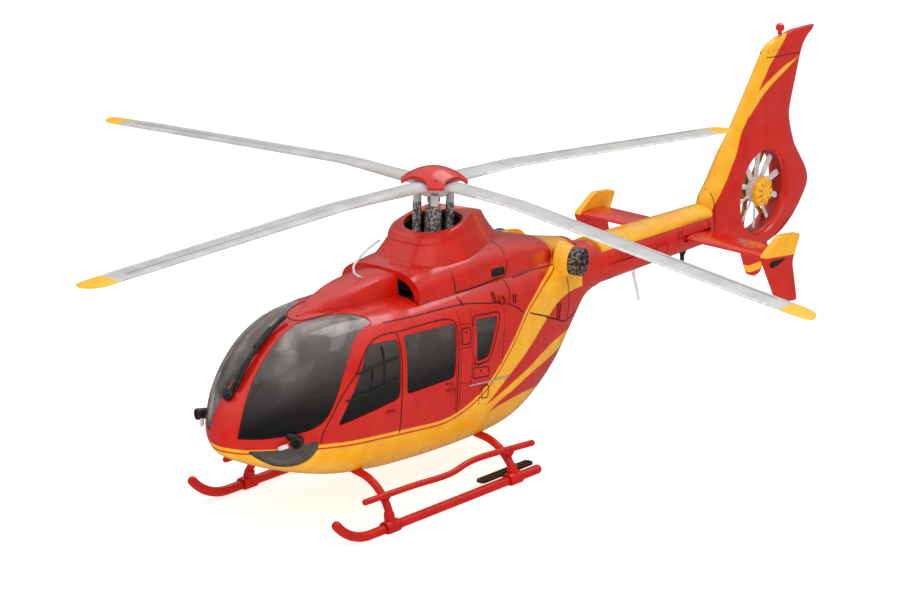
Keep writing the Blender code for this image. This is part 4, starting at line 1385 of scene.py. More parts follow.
def make_hatches():
    """Access hatches, rivet rows and moulded vents on each side of the hull."""
    hatches = (
        ((-5.5, 25.6), (-3.5, 25.3), (-3.6, 22.9), (-5.6, 23.2)),
        ((-2.9, 19.0), (1.1, 18.3), (1.2, 16.8), (-2.8, 17.3)),
        ((-0.5, 15.6), (1.2, 15.4), (1.3, 13.4), (-0.4, 13.6)),
    )
    rivet_rows = (
        ((-5.75, 28.0), (-5.95, 13.6), 33),
        ((-6.85, 26.4), (-6.95, 13.6), 29),
        ((-2.9, 27.8), (-3.3, 16.6), 22),
        ((5.3, 26.3), (4.4, 18.0), 17),
        ((-5.6, 26.2), (-3.4, 25.9), 6),
        ((-5.6, 22.6), (-3.4, 22.4), 6),
        ((-5.4, 17.2), (-3.5, 16.9), 5),
        ((-3.0, 19.6), (1.0, 19.0), 9),
        ((-1.0, 16.3), (-1.0, 13.0), 8),
    )
    slots = (
        ((-3.9, 29.2), (-3.95, 28.5)),
        ((3.4, 28.9), (3.2, 27.5)),
        ((3.9, 28.9), (3.7, 27.5)),
        ((8.4, 27.6), (7.9, 26.4)),
        ((9.0, 27.5), (8.5, 26.3)),
        ((22.0, 23.0), (21.6, 20.4)),
        ((22.8, 22.8), (22.4, 20.2)),
    )
    for side, name in SIDES:
        lines, rivets, ribs = bmesh.new(), bmesh.new(), bmesh.new()
        for hatch in hatches:
            spots = side_spots(hull_x, rounded(hatch, 0.4), side, 0.3)[:-1]
            lay_strip(lines, spots, 0.17, closed=True)
        for station, z in ((-4.5, 24.8), (-0.9, 18.1)):
            lay_stud(lines, spot_beside(hull_x, station, z, side), 0.18, 0.09, 12)
        for start, end, count in rivet_rows:
            row_of_studs(rivets, hull_x, start, end, count, side, RIVET_RADIUS)
        for slot in slots:
            lay_strip(ribs, side_spots(hull_x, slot, side), 0.16, 0.1)
        finish(as_object("hatches_" + name, lines), LINE)
        finish(as_object("rivets_" + name, rivets), LINE)
        finish(as_object("vent_ribs_" + name, ribs), LINE)


def make_side_fittings():
    """Grab handles, door rails, hooks, the cowling grille and the rails across the pilot's window."""
    grips = (
        ((-9.4, 18.0), (-7.9, 17.7)),
        ((-9.3, 16.9), (-6.8, 16.7)),
        ((-23.0, 16.9), (-21.2, 16.7)),
    )
    for side, name in SIDES:
        handles = bmesh.new()
        for line in grips:
            lay_strip(handles, side_spots(hull_x, line, side, 0.2), 0.34, 0.22)
        piece = as_object("door_handles_" + name, handles)
        finish(bevel(piece, 0.08), DEEP_PAINT)

        rail = bmesh.new()
        lay_strip(rail, side_spots(hull_x, [(-3.7, 16.4), (1.8, 15.9), (6.6, 15.5)], side), 0.22, 0.14)
        finish(bevel(as_object("door_rail_" + name, rail), 0.04), SILVER)

        hook = ((4.9, 26.9), (4.6, 27.4), (4.8, 27.9), (5.3, 28.0), (5.8, 27.8), (5.9, 27.3), (5.6, 26.8))
        path = []
        for station, z in hook:
            point, normal = spot_beside(hull_x, station, z, side)
            path.append(point + normal * 0.12)
        finish(tube("lifting_hook_" + name, smooth_path(path, 3), 0.16), DEEP_PAINT)

        grille = bmesh.new()
        frame_line = rounded(((5.0, 31.8), (8.0, 31.6), (8.0, 30.6), (5.0, 30.75)), 0.3)
        lay_strip(grille, side_spots(cowling_x, frame_line, side, 0.3)[:-1], 0.2, 0.1, closed=True)
        for z in steps_from(30.85, 31.6, 0.15):
            lay_strip(grille, side_spots(cowling_x, [(5.1, z), (7.9, z - 0.07)], side), 0.15, 0.05)
        finish(as_object("cowling_grille_" + name, grille), BLACK)

        rails = bmesh.new()
        for start, end in (((-29.6, 24.1), (-20.1, 24.6)), ((-31.9, 20.6), (-20.2, 21.3))):
            lay_strip(rails, side_spots(hull_x, [start, end], side), 0.3, 0.12, 0.2)
        for start, end in (((-26.1, 24.3), (-26.6, 20.9)), ((-23.4, 26.9), (-23.6, 21.2))):
            lay_strip(rails, side_spots(hull_x, [start, end], side), 0.26, 0.06, 0.2)
        finish(bevel(as_object("window_rails_" + name, rails), 0.06), BLACK)


def gear_path(points, per_span=5):
    """A cross tube's centre line, from the starboard foot to the port foot."""
    starboard = [(-x, y, z) for x, y, z in points]
    return smooth_path(starboard[::-1] + list(points)[1:], per_span)


def capped_bar(name, path, radius):
    """A round bar with domed ends."""
    pieces = [tube(name + "_bar", path, radius, 6)]
    turns = [math.pi / 2 * k / 6 for k in range(6)]
    dome = [(radius * math.cos(turn), radius * math.sin(turn)) for turn in turns]
    profile = [(0, -0.2), (radius * 0.98, -0.2), *dome, (0, radius)]
    for end, inward in ((path[0], path[1]), (path[-1], path[-2])):
        out = Vector(end) - Vector(inward)
        pieces.append(turned(name + "_end", profile, moved(*end) @ along(out), 32))
    return carve(carve(pieces[0], pieces[1], "UNION"), pieces[2], "UNION")


def make_landing_gear():
    """Skids with turned-up toes, cross tubes in saddles, grab rails with struts, and rear boards."""
    half_track = SKID_TRACK / 2
    axis_z = SKID_RADIUS - 0.1
    bend_start, bend, reach = -29.3, 11.0, math.radians(46)
    ground = block("ground_cut", (-30, -60, -5), (30, 30, 0))
    saddle = ((0.75, -1.5), (1.0, -1.5), (1.08, -1.2), (1.08, 1.2), (1.0, 1.5), (0.75, 1.5))
    socket = ((0, 0), (0.85, 0), (0.78, 1.4), (0.66, 1.7), (0, 1.7))
    for side, name in SIDES:
        x = side * half_track
        path = [Vector((x, y, axis_z)) for y in (9.9, -10.0)]
        for i in range(17):
            angle = reach * i / 16
            ahead, up = bend * math.sin(angle), bend * (1 - math.cos(angle))
            path.append(Vector((x, bend_start - ahead, axis_z + up)))
        skid = carve(capped_bar("skid_tube_" + name, path, SKID_RADIUS), ground)
        finish(skid, GEAR_PAINT, replaces=["skid_" + name])

        rail = smooth_path([(side * u, v, w) for u, v, w in STEP_PATH], 8)
        finish(capped_bar("grab_rail_" + name, rail, 0.48), GEAR_PAINT, replaces=["step_" + name])

        saddles = []
        for station in (FRONT_TUBE[0][1], REAR_TUBE[0][1]):
            place = moved(x, station, axis_z + 0.02) @ along((0, 1, 0))
            saddles.append(carve(turned("saddle", saddle, place, 32), ground))
            place = moved(side * 13.75, station, 1.2) @ along((-side * 0.25, 0, 1))
            saddles.append(turned("socket", socket, place, 32))
        finish(join("skid_saddles_" + name, saddles), GEAR_PAINT)

        struts = []
        for station, low, high in ((-25.0, 4.4, 5.65), (4.0, 3.4, 5.4)):
            struts.append(tube("strut", [(side * 12.7, station, low), (side * 13.6, station, high)], 0.36))
        finish(join("rail_struts_" + name, struts), GEAR_PAINT)

        low, high = across_from(side, 11.2, 12.75)
        board = rounded(((low, -2.0), (high, -2.0), (high, 10.6), (low, 10.6)), 0.75, 6)
        pieces = [bevel(plate("board", board, "top", 1.0, 1.4), 0.08, 2)]
        for station in steps_from(-1.2, 9.8, 0.8):
            corners = (low + 0.2, station - 0.12, 1.4), (high - 0.2, station + 0.12, 1.5)
            pieces.append(block("rib", *corners))
        finish(join("skid_tread_" + name, pieces), BLACK, replaces=["skid_board_" + name])
        brace = [(side * 12.0, 6.4, 1.3), (side * 12.2, 5.2, 3.0), (side * 12.3, 4.5, 3.6)]
        finish(tube("board_brace_" + name, smooth_path(brace), 0.34), BLACK)
    for name, path in (("front", FRONT_TUBE), ("rear", REAR_TUBE)):
        bar = tube(name + "_cross_bar", gear_path(path), TUBE_RADIUS, 6)
        finish(bar, GEAR_PAINT, replaces=[name + "_cross_tube"])


# The tail.


def fin_half(z):
    """Points of the fin's port side at one height, from its front edge to its rear edge."""
    fore, aft, thick_fore, thick_aft = between(FIN, z)
    points = []
    steps = 28
    for i in range(steps + 1):
        share = (1 - math.cos(math.pi * i / steps)) / 2
        edge = max(1 - abs(2 * share - 1) ** 5, 0.0) ** 0.5
        half = (thick_fore + (thick_aft - thick_fore) * share) * edge
        points.append(Vector((half, min(fore + (aft - fore) * share, FIN_REAR), z)))
    return points


def fin_heights():
    """Heights of the fin's rings, with a close pair at each moulded crease."""
    heights = set(steps_from(FIN[0][0], FIN[-1][0], 0.7))
    for crease in FIN_CREASES:
        heights = {z for z in heights if abs(z - crease) > 0.35} | {crease - 0.08, crease + 0.08}
    return sorted(heights)


def make_fin():
    """The fin with its duct, whose lip flares outwards on both sides."""
    fin = loft("fin_shell", [both_sides(fin_half(z)) for z in fin_heights()])
    lip = []
    for turn in steps_from(0, 1.45, 0.15):
        flare = 2.3 * (1 - math.cos(turn)) ** 0.8
        lip.append((DUCT_RADIUS + flare, 1.1 + 2.2 * math.sin(turn)))
    wide = lip[-1][0]
    duct = [(0, -5), (wide, -5), *[(r, -z) for r, z in lip[::-1]], *lip, (wide, 5), (0, 5)]
    carve(fin, turned("duct_cut", duct, moved(0, FAN_Y, FAN_Z) @ along((1, 0, 0)), 96))
    finish(fin, FIN_PAINT, replaces=["tail_fin"], sharp=24)

    fin_seams = (
        ((86.4, 50.0), (88.7, 49.8), (96.6, 49.3)),
        ((71.6, 30.2), (71.9, 26.0), (72.0, 22.6)),
        ((94.6, 21.4), (91.0, 18.9)),
    )
    for side, name in SIDES:
        lines, dots = bmesh.new(), bmesh.new()
        for line in fin_seams:
            lay_strip(lines, side_spots(fin_half_width, line, side), 0.12)
        row_of_studs(dots, fin_half_width, (85.6, 50.9), (90.6, 50.98), 5, side, 0.11)
        finish(as_object("fin_lines_" + name, lines), LINE)
        finish(as_object("fin_rivets_" + name, dots), LINE)


def fin_half_width(station, z):
    """Half width of the fin at a height."""
    fore, aft, thick_fore, thick_aft = between(FIN, z)
    share = min(max((station - fore) / (aft - fore), 0.0), 1.0)
    edge = max(1 - abs(2 * share - 1) ** 5, 0.0) ** 0.5
    return (thick_fore + (thick_aft - thick_fore) * share) * edge


def boom_radius(station):
    """Radius of the boom, which narrows aft."""
    front, rear = 3.6, 3.05
    return front + (rear - front) * (station - BOOM_START) / (BOOM_END - BOOM_START)


def boom_spot(station, angle, lift=0.0):
    """A point on the boom, its angle measured from port towards the top, and its normal."""
    out = Vector((math.cos(angle), 0, math.sin(angle)))
    return Vector((0, station, BOOM_Z)) + out * (boom_radius(station) + lift), out


def boom_strip(mesh, corners, width=0.12, closed=False, lift=0.0):
    """A moulded line on the boom through (station, angle in degrees) corners."""
    spots = []
    for start, end in zip(corners, corners[1:]):
        count = max(2, round(abs(end[0] - start[0]) / 0.8 + abs(end[1] - start[1]) / 6))
        for i in range(count):
            station, angle = Vector(start).lerp(Vector(end), i / count)
            spots.append(boom_spot(station, math.radians(angle), lift))
    if not closed:
        spots.append(boom_spot(corners[-1][0], math.radians(corners[-1][1]), lift))
    lay_strip(mesh, spots, width, closed=closed)


def boom_side(angle, side):
    """An angle on the boom's port side, or its mirror image on starboard."""
    return angle if side > 0 else 180 - angle


def make_boom():
    """The boom with its root ring, the yellow cover over its shaft, its hatches and its humps."""
    wall = 0.8
    outer = [(boom_radius(y), y) for y in steps_from(BOOM_START, BOOM_END, 1.0)]
    profile = [(outer[0][0] - wall, BOOM_START), *outer, (outer[-1][0] - wall, BOOM_END)]
    boom = turned("boom_tube", profile, moved(0, 0, BOOM_Z) @ along((0, 1, 0)), 64)
    carve(boom, block("stabiliser_slot", (-6, 61.6, BOOM_Z - 0.56), (6, 69.2, BOOM_Z + 0.56)))
    finish(boom, PLAIN_RED, replaces=["tail_boom"])

    ring = ((3.3, -0.5), (3.75, -0.5), (3.86, -0.3), (3.86, 0.3), (3.75, 0.5), (3.3, 0.5))
    place = moved(0, BOOM_START + 0.6, BOOM_Z) @ along((0, 1, 0))
    finish(turned("boom_root_ring", ring, place, 64), PLAIN_RED)

    cover = []
    for station in steps_from(BOOM_START + 1.3, BOOM_END + 0.05, 1.0):
        outer, inner = [], []
        for angle in steps_from(40.0, 140.0, 5.0):
            ease = min(1.0, (50 - abs(angle - 90)) / 8)
            outer.append(boom_spot(station, math.radians(angle), 0.12 + 0.5 * ease**0.6)[0])
            inner.append(boom_spot(station, math.radians(angle), 0.04)[0])
        cover.append(outer + inner[::-1])
    finish(loft("shaft_fairing", cover), PLAIN_YELLOW, replaces=["shaft_cover"])

    lines = bmesh.new()
    hatches = ((53.8, 56.9, 8, -28), (44.2, 47.0, 30, 2), (60.0, 61.2, 26, 6))
    for side, _ in SIDES:
        boom_strip(lines, [(68.9, boom_side(38, side)), (68.9, boom_side(-60, side))])
        for fore, aft, high, low in hatches:
            high, low = boom_side(high, side), boom_side(low, side)
            box = [(fore, high), (aft, high), (aft, low), (fore, low), (fore, high)]
            boom_strip(lines, box, 0.11, closed=True)
        seam = boom_side(4, side)
        boom_strip(lines, [(BOOM_START + 2.6, seam), (53.8, seam)], 0.1)
        lay_stud(lines, boom_spot(45.6, math.radians(boom_side(16, side))), 0.25, 0.1, 14)
    finish(as_object("boom_lines", lines), LINE)

    humps = []
    for station, length in ((44.5, 1.6), (56.8, 2.2)):
        base = BOOM_Z - boom_radius(station)
        hump = block("hump", (-0.5, station, base - 0.35), (0.5, station + length, base + 0.5))
        humps.append(bevel(hump, 0.3, 4))
    finish(join("boom_humps", humps), PLAIN_RED)


def make_stabiliser():
    """The tailplane, its tip plates with their lamps, and the fin under the duct."""
    half_span = STABILISER_SPAN / 2
    rings = []
    for x in (-half_span, *steps_from(-half_span + 0.4, half_span - 0.4, 1.4), half_span):
        ring = []
        for i in range(40):
            angle = math.tau * i / 40
            chord = 3.5 * math.cos(angle)
            rise = 0.48 * math.sin(angle) * (1 - 0.35 * math.cos(angle))
            ring.append(Vector((x, 65.5 + chord, BOOM_Z + rise)))
        rings.append(ring)
    finish(loft("tailplane", rings), PLAIN_RED, replaces=["stabiliser"], sharp=50)

    outline = ((71.5, 26.6), (66.0, 27.2), (61.3, 24.4), (66.7, 15.9), (71.6, 15.3), (69.5, 22.2))
    lamp_line = ((62.7, 22.9), (63.6, 23.4), (67.4, 23.2), (65.2, 22.5), (63.6, 22.2))
    for side, name in SIDES:
        low, high = across_from(side, half_span + 0.05, half_span + GAP + 0.8)
        tip = bevel(plate("tip_plate_" + name, rounded(outline, 0.9), "side", low, high), 0.28, 3)
        finish(tip, TIP_PAINT, replaces=["end_plate_" + name])
        low, high = across_from(side, half_span + 0.6, half_span + GAP + 0.95)
        lamp = bevel(plate("tip_lamp_" + name, rounded(lamp_line, 0.4), "side", low, high), 0.1, 2)
        finish(lamp, BLACK)
    ventral = ((83.0, 17.85), (85.6, 12.8), (86.7, 12.2), (88.8, 12.7), (90.4, 17.85))
    lower = bevel(plate("lower_fin", rounded(ventral, 0.8), "side", -0.5, 0.5), 0.28, 3)
    finish(lower, VENTRAL_PAINT, replaces=["ventral_fin"])
    lamp = ((0, 0), (0.4, 0), (0.42, 0.2), (0.33, 0.3), (0.33, 0.55), (0.62, 0.7), (0.74, 1.0), (0.74, 1.3),
            (0.6, 1.65), (0.3, 1.86), (0, 1.9))
    finish(turned("fin_lamp", lamp, moved(0, 91.0, 53.1), 32), PLAIN_RED, replaces=["fin_beacon"])


def fan_blade(root, tip, chord, pitch, angle):
    """Rings of a twisted vane, turned to its place round the fan's axis."""
    rings = []
    for radius in steps_from(root, tip, 0.4):
        share = (radius - root) / (tip - root)
        half = chord * (0.36 + 0.14 * share) if share < 0.92 else chord * 0.42
        twist = math.radians(pitch * (1 - 0.45 * share))
        ring = []
        for i in range(16):
            turn = math.tau * i / 16
            u, v = half * math.cos(turn), 0.16 * math.sin(turn)
            across = u * math.sin(twist) + v * math.cos(twist)
            ahead = u * math.cos(twist) - v * math.sin(twist)
            ring.append(Vector((across + 0.3, ahead, radius)))
        rings.append([Matrix.Rotation(angle, 4, "X") @ point for point in ring])
    return [[point + Vector((0, FAN_Y, FAN_Z)) for point in ring] for ring in rings]


def make_tail_fan():
    """The fan with its twisted blades, its cap, the vanes that hold its axle and a darker red band round the
    inside of the duct, which is painted shade.
    """
    here = moved(0, FAN_Y, FAN_Z) @ along((1, 0, 0))
    hub = ((0, -1.8), (0.5, -1.8), (0.5, -0.4), (2.0, -0.4), (2.15, -0.2), (2.15, 0.9), (2.0, 1.1), (0, 1.1))
    rotor = turned("fan_wheel", hub, here, 48)
    for i in range(FAN_BLADES):
        angle = math.tau * i / FAN_BLADES
        blade = loft(f"fan_vane_{i}", fan_blade(1.7, DUCT_RADIUS - 0.42, 1.15, 30, angle))
        carve(rotor, blade, "UNION")
    finish(rotor, FAN_WHITE, "tail_fan", ["fan_rotor"])

    make_fan_cap()
    make_stator(here)

    # A darker red band round the inside of the duct, with a small step at each edge: painted shade.
    inner, outer = DUCT_RADIUS - 0.07, DUCT_RADIUS + 0.12
    liner = ((inner, -0.9), (inner, 0.75), (outer, 0.95), (outer, -0.95))
    finish(turned("duct_liner", liner, here, 96), DEEP_PAINT)


def make_fan_cap():
    """The lobed yellow cap, with a dark ochre line in each valley, which is painted shade."""
    cap = []
    for x, radius, lobe in (
        (1.12, 2.3, 0.0),
        (1.2, 2.55, 0.24),
        (1.75, 2.6, 0.34),
        (2.05, 2.45, 0.34),
        (2.3, 2.0, 0.2),
        (2.4, 1.4, 0.0),
        (2.34, 1.1, 0.0),
        (2.22, 0.85, 0.0),
        (2.22, 0.4, 0.0),
        (2.3, 0.15, 0.0),
    ):
        ring = []
        for i in range(120):
            angle = math.tau * i / 120
            reach = radius - lobe * (0.5 - 0.5 * math.cos(FAN_BLADES * angle))
            ring.append(Vector((x, FAN_Y + reach * math.cos(angle), FAN_Z + reach * math.sin(angle))))
        cap.append(ring)
    spinner = loft("fan_cap", cap)
    # Dark ochre lines in the valleys between the lobes: painted shade.
    valley_shade = bmesh.new()
    centre = Vector((2.36, FAN_Y, FAN_Z))
    for i in range(FAN_BLADES):
        angle = math.tau * (i + 0.5) / FAN_BLADES
        out = Vector((0, math.cos(angle), math.sin(angle)))
        spots = []
        for reach, sunk in ((1.15, 0.02), (1.55, 0.02), (1.95, 0.12)):
            spots.append((centre + out * reach - Vector((sunk, 0, 0)), Vector((1, 0, 0))))
        lay_strip(valley_shade, spots, 0.22, 0.06, 0.2)
    finish(spinner, PLAIN_YELLOW, "tail_fan", ["fan_spinner"])
    finish(as_object("fan_cap_ribs", valley_shade), OCHRE, "tail_fan")


def make_stator(here):
    """The ring behind the fan and the vanes that hold it in the duct."""
    ring = ((0.8, -1.9), (2.0, -1.9), (2.1, -1.7), (2.1, -0.9), (2.0, -0.8), (0.8, -0.8))
    stator = turned("stator_ring", ring, here, 48)
    vanes = 7
    for i in range(vanes):
        place = moved(0, FAN_Y, FAN_Z) @ Matrix.Rotation(math.tau * (i + 0.3) / vanes, 4, "X")
        vane = block(f"stator_vane_{i}", (-1.75, -0.2, 1.6), (-0.95, 0.2, DUCT_RADIUS - 0.05), place)
        carve(stator, bevel(vane, 0.12, 2), "UNION")
    finish(stator, OCHRE, replaces=["fan_stator"])


# Small fittings on the nose, roof and boom.


def make_fittings():
    """The lamps beside the nose, the wiper and the aerials."""
    for side, name in SIDES:
        place = moved(side * 9.2, -40.9, 16.3) @ along((side * 0.45, -1, 0.0))
        pod = (
            (0, -1.5),
            (0.62, -1.5),
            (0.78, -1.15),
            (0.84, 0.0),
            (0.86, 0.42),
            (0.8, 0.62),
            (0.6, 0.66),
            (0.52, 0.42),
            (0, 0.38),
        )
        finish(turned("lamp_pod_" + name, pod, place, 32), BLACK, replaces=["nose_lamp_" + name])
        bracket = [(side * 7.5, -40.9, 16.9), (side * 8.2, -40.7, 16.8), (side * 9.0, -40.5, 16.4)]
        finish(tube("lamp_bracket_" + name, smooth_path(bracket), 0.55), BLACK)
        bulb = ((0, -0.7), (0.3, -0.7), (0.33, 0.4), (0.26, 0.68), (0.13, 0.78), (0, 0.8))
        bulb_place = moved(side * 7.75, -42.1, 15.55) @ along((-side * 0.5, -0.6, -0.25))
        finish(turned("lamp_bulb_" + name, bulb, bulb_place, 24), WHITE)
    make_wiper()
    make_aerials()


def make_wiper():
    """The windscreen wiper: a double arm from its pivot, carrying a holder with the rubber blade."""
    raised = Vector((0.59, -0.754, 0.288)) * 0.55
    foot, knee, heel = (-1.0, -43.5, 22.1), (-0.7, -39.9, 26.4), (-0.6, -37.5, 28.3)
    arm_line = [foot, (-0.85, -41.8, 24.6), knee, heel]
    link_line = [(-0.2, -43.3, 22.5), (-0.25, -41.6, 25.0), (-0.5, -39.4, 27.1)]
    blade_line = [(-1.0, -38.6, 27.2), (-1.0, -36.3, 28.8), (-1.0, -33.6, 30.2), (-0.9, -32.2, 30.8)]
    holder_line = [(-0.8, -38.6, 27.6), (-0.95, -35.2, 29.6)]
    pieces = []
    for name, line, radius in (
        ("arm", arm_line, 0.36),
        ("link", link_line, 0.24),
        ("rubber", blade_line, 0.34),
        ("holder", holder_line, 0.5),
    ):
        path = [point + raised for point in smooth_path(line)]
        pieces.append(tube(name, path, radius))
    leaning = along((0.3, -0.75, 0.6))
    pivot = ((0, -0.7), (0.85, -0.7), (0.85, 0.2), (0.7, 0.5), (0.3, 0.62), (0, 0.64))
    pieces.append(turned("pivot", pivot, moved(-0.9, -44.3, 21.9) @ leaning, 28))
    nut = ((0, 0.5), (0.42, 0.5), (0.42, 0.95), (0, 0.95))
    pieces.append(turned("nut", nut, moved(-0.9, -44.3, 21.9) @ leaning, 6))
    finish(join("windscreen_wiper", pieces), BLACK, replaces=["wiper"])


def make_aerials():
    """The wire loop on the roof, the two whips under the boom and a small blade behind the cabin."""
    wire = smooth_path([(0.6, -17.3, 33.9), (0.4, -18.4, 34.6), (-0.2, -18.0, 35.5), (-0.8, -16.4, 36.0),
                        (-1.6, -13.8, 36.6), (-2.3, -11.0, 37.0), (-2.9, -8.9, 37.1)], 6)
    finish(capped_bar("roof_wire", wire, 0.17), WHITE, replaces=["roof_rail"])

    tip = ((0, -0.1), (0.42, -0.1), (0.38, 0.3), (0.3, 0.5), (0.24, 5.6), (0.18, 5.85), (0, 5.9))
    place = moved(0, 52.0, 20.6) @ along((0.02, 0.36, -1.0))
    finish(turned("long_whip", tip, place, 20), WHITE, replaces=["long_aerial"])
    post = (
        (0, -0.1), (0.75, -0.1), (0.62, 0.25), (0.42, 0.6), (0.36, 1.0), (0.33, 3.2), (0.2, 3.45),
        (0, 3.5),
    )
    place = moved(0, 65.8, 20.9) @ along((0, 0.06, -1.0))
    finish(turned("short_whip", post, place, 20), BLACK, replaces=["short_aerial"])
    shark = rounded(((47.5, 31.0), (49.4, 31.0), (49.0, 30.0), (47.7, 30.0)), 0.3)
    fin = bevel(plate("blade_aerial", [(y, z - 2.4) for y, z in shark], "side", -0.14, 0.14), 0.08, 2)
    finish(fin, PLAIN_YELLOW)


# The main rotor.


def around_mast(index, half_turn=0.0):
    """The rotation that carries a piece from the +X arm to one of the rotor's arms."""
    return Matrix.Rotation(ROTOR_PHASE + math.tau * (index + half_turn) / BLADES, 4, "Z")


def blade_z(index, radius):
    """Height of a blade's middle, which droops towards its tip."""
    droop_start = 12.0
    droop = BLADE_DROOPS[index] * max(radius - droop_start, 0.0) / (ROTOR_RADIUS - droop_start)
    return min(BLADE_ROOT_Z, BLADE_Z - droop)


def make_blade(index):
    """One blade: a thick root, then a thin aerofoil that droops and ends in a swept tip."""
    sides = 28
    radii = steps_from(2.5, 66.0, 1.3) + steps_from(66.0, BLADE[-1][0], 0.3)[1:]
    rings = []
    for radius in radii:
        share, thickness, shift = between(BLADE, radius)
        half = BLADE_CHORD * share / 2
        ring = []
        for i in range(sides):
            angle = math.tau * i / sides
            lead = math.cos(angle)
            rise = math.sin(angle) * thickness / 2 * (1 + 0.35 * lead)
            ring.append(Vector((radius, shift + half * lead, blade_z(index, radius) + rise)))
        rings.append([around_mast(index) @ point for point in ring])
    blade = loft(f"blade_shell_{index + 1}", rings)
    finish(blade, BLADE_PAINT, "main_rotor", [f"main_blade_{index + 1}"], sharp=60)

    # A whiter bead along the leading edge: painted highlight, where the edge catches the light.
    edge = []
    for radius in steps_from(10.0, 64.0, 1.8):
        share = between(BLADE, radius)[0]
        point = Vector((radius, 0.12 - BLADE_CHORD * share / 2, blade_z(index, radius)))
        edge.append(around_mast(index) @ point)
    finish(tube(f"edge_trim_{index + 1}", edge, 0.19, 3), EDGE_HIGHLIGHT_WHITE, "main_rotor")

    lines = bmesh.new()
    spots = []
    for radius in steps_from(20.0, 63.5, 1.5):
        point = Vector((radius, 0.75, blade_z(index, radius) + 0.36))
        spots.append((around_mast(index) @ point, Vector((0, 0, 1))))
    lay_strip(lines, spots, 0.12, 0.0, 0.08)
    finish(as_object(f"blade_strip_{index + 1}", lines), EDGE_GREY, "main_rotor")


def make_rotor():
    """Mast, hub, cap, control rods and blades."""
    shaft = (
        (0, 25.2),
        (2.1, 25.2),
        (2.1, 26.7),
        (1.05, 26.9),
        (1.05, 36.4),
        (1.25, 36.6),
        (1.25, 40.4),
        (1.05, 40.7),
        (0.62, 40.8),
        (0.58, 41.6),
        (0.95, 41.9),
        (1.0, 42.9),
        (0, 42.9),
    )
    finish(turned("mast_shaft", shaft, AT_MAST), METAL, "main_rotor", ["rotor_mast"])
    hub = ((0, 43.0), (1.9, 43.0), (2.25, 43.4), (2.35, 44.2), (2.3, 45.2), (2.1, 45.5), (0, 45.5))
    finish(turned("hub_body", hub, AT_MAST), BLADE_PAINT, "main_rotor", ["rotor_hub"])

    ring = ((1.3, 34.3), (3.2, 34.3), (3.3, 34.5), (3.3, 35.4), (3.2, 35.6), (1.3, 35.6))
    rods = turned("swashplate", ring, AT_MAST)
    rod = (
        (0, 34.9),
        (0.66, 34.9),
        (0.7, 35.2),
        (0.7, 36.6),
        (0.6, 36.8),
        (0.6, 39.6),
        (0.66, 39.8),
        (0.66, 41.9),
        (0.5, 42.1),
        (0, 42.1),
    )
    sleeve = ((0, 41.9), (0.62, 41.9), (0.62, 43.55), (0, 43.55))
    sleeves = []
    for i in range(BLADES):
        spot = around_mast(i, 0.5) @ Vector((2.45, 0, 0))
        carve(rods, turned(f"rod_{i}", rod, moved(*spot), 24), "UNION")
        sleeves.append(turned("sleeve", sleeve, moved(*spot), 24))
    finish(rods, METAL, "main_rotor", ["control_rods"])
    finish(join("rod_sleeves", sleeves), BLADE_PAINT, "main_rotor")

    make_hub_cap()
    for i in range(BLADES):
        make_blade(i)


def cap_z(radius):
    """Height of the cap's upper face."""
    return CAP_TOP - CAP_FALL * (radius / CAP_RADIUS) ** 2


def make_hub_cap():
    """A thin shallow dome, with a notch for each blade and a small screw on each lobe."""
    radii = steps_from(0.0, CAP_RADIUS, 0.3)
    under = [(radius, cap_z(radius) - CAP_THICKNESS) for radius in radii]
    outer = [(radius, cap_z(radius)) for radius in radii[::-1]]
    cap = turned("cap_shell", outer + under, AT_MAST, 96)
    for i in range(BLADES):
        notch = plate(f"notch_{i}", rounded(CAP_NOTCH, 0.5), "top", 40, CAP_TOP)
        notch.data.transform(FRAME_FROM_MAST @ around_mast(i) @ FRAME_FROM_MAST.inverted())
        carve(cap, notch)
    finish(cap, PLAIN_RED, "main_rotor", ["hub_cap"])

    screws = bmesh.new()
    screw_radius = 3.9
    for i in range(BLADES):
        point = around_mast(i, 0.5) @ Vector((screw_radius, 0, cap_z(screw_radius)))
        normal = Vector((point.x * 0.15, point.y * 0.15, 1)).normalized()
        lay_stud(screws, (point, normal), 0.22, 0.08, 6)
    finish(as_object("cap_screws", screws), DEEP_PAINT, "main_rotor")


# The studio.


def make_studio():
    """A white floor, with the surround and the lights."""
    floor = bpy.data.objects.new("floor", bpy.data.meshes.new("floor"))
    mesh = bmesh.new()
    bmesh.ops.create_circle(mesh, cap_ends=True, segments=96, radius=6.0)
    mesh.to_mesh(floor.data)
    mesh.free()
    bpy.context.scene.collection.objects.link(floor)
    paper = Paint("studio_paper", "white_plastic", (0.5, 0.5, 0.5, 1.0), 0.9, Emission_Strength=0.72)
    paper.shader.inputs["Emission Color"].default_value = (1.0, 1.0, 1.0, 1.0)
    paper.roughness(paper.spread(paper.noise(0.02), 0.3, 0.7, 0.85, 0.95))
    floor.data.materials.append(paper.material)
    floor.visible_glossy = False
    make_surround()
    make_lights()


def make_surround():
    """A white surround that is brightest overhead."""
    world = bpy.data.worlds.new("soft_white")
    bpy.context.scene.world = world
    world.use_nodes = True
    nodes, links = world.node_tree.nodes, world.node_tree.links
    background = nodes["Background"]
    direction = nodes.new("ShaderNodeTexCoord")
    split = nodes.new("ShaderNodeSeparateXYZ")
    ramp = nodes.new("ShaderNodeMapRange")
    ramp.interpolation_type = "SMOOTHSTEP"
    for socket, number in zip(ramp.inputs[1:5], (0.0, 0.9, 0.16, 0.85)):
        socket.default_value = number
    links.new(direction.outputs["Generated"], split.inputs[0])
    links.new(split.outputs["Z"], ramp.inputs[0])
    links.new(ramp.outputs[0], background.inputs["Strength"])
    background.inputs["Color"].default_value = (1.0, 1.0, 1.0, 1.0)


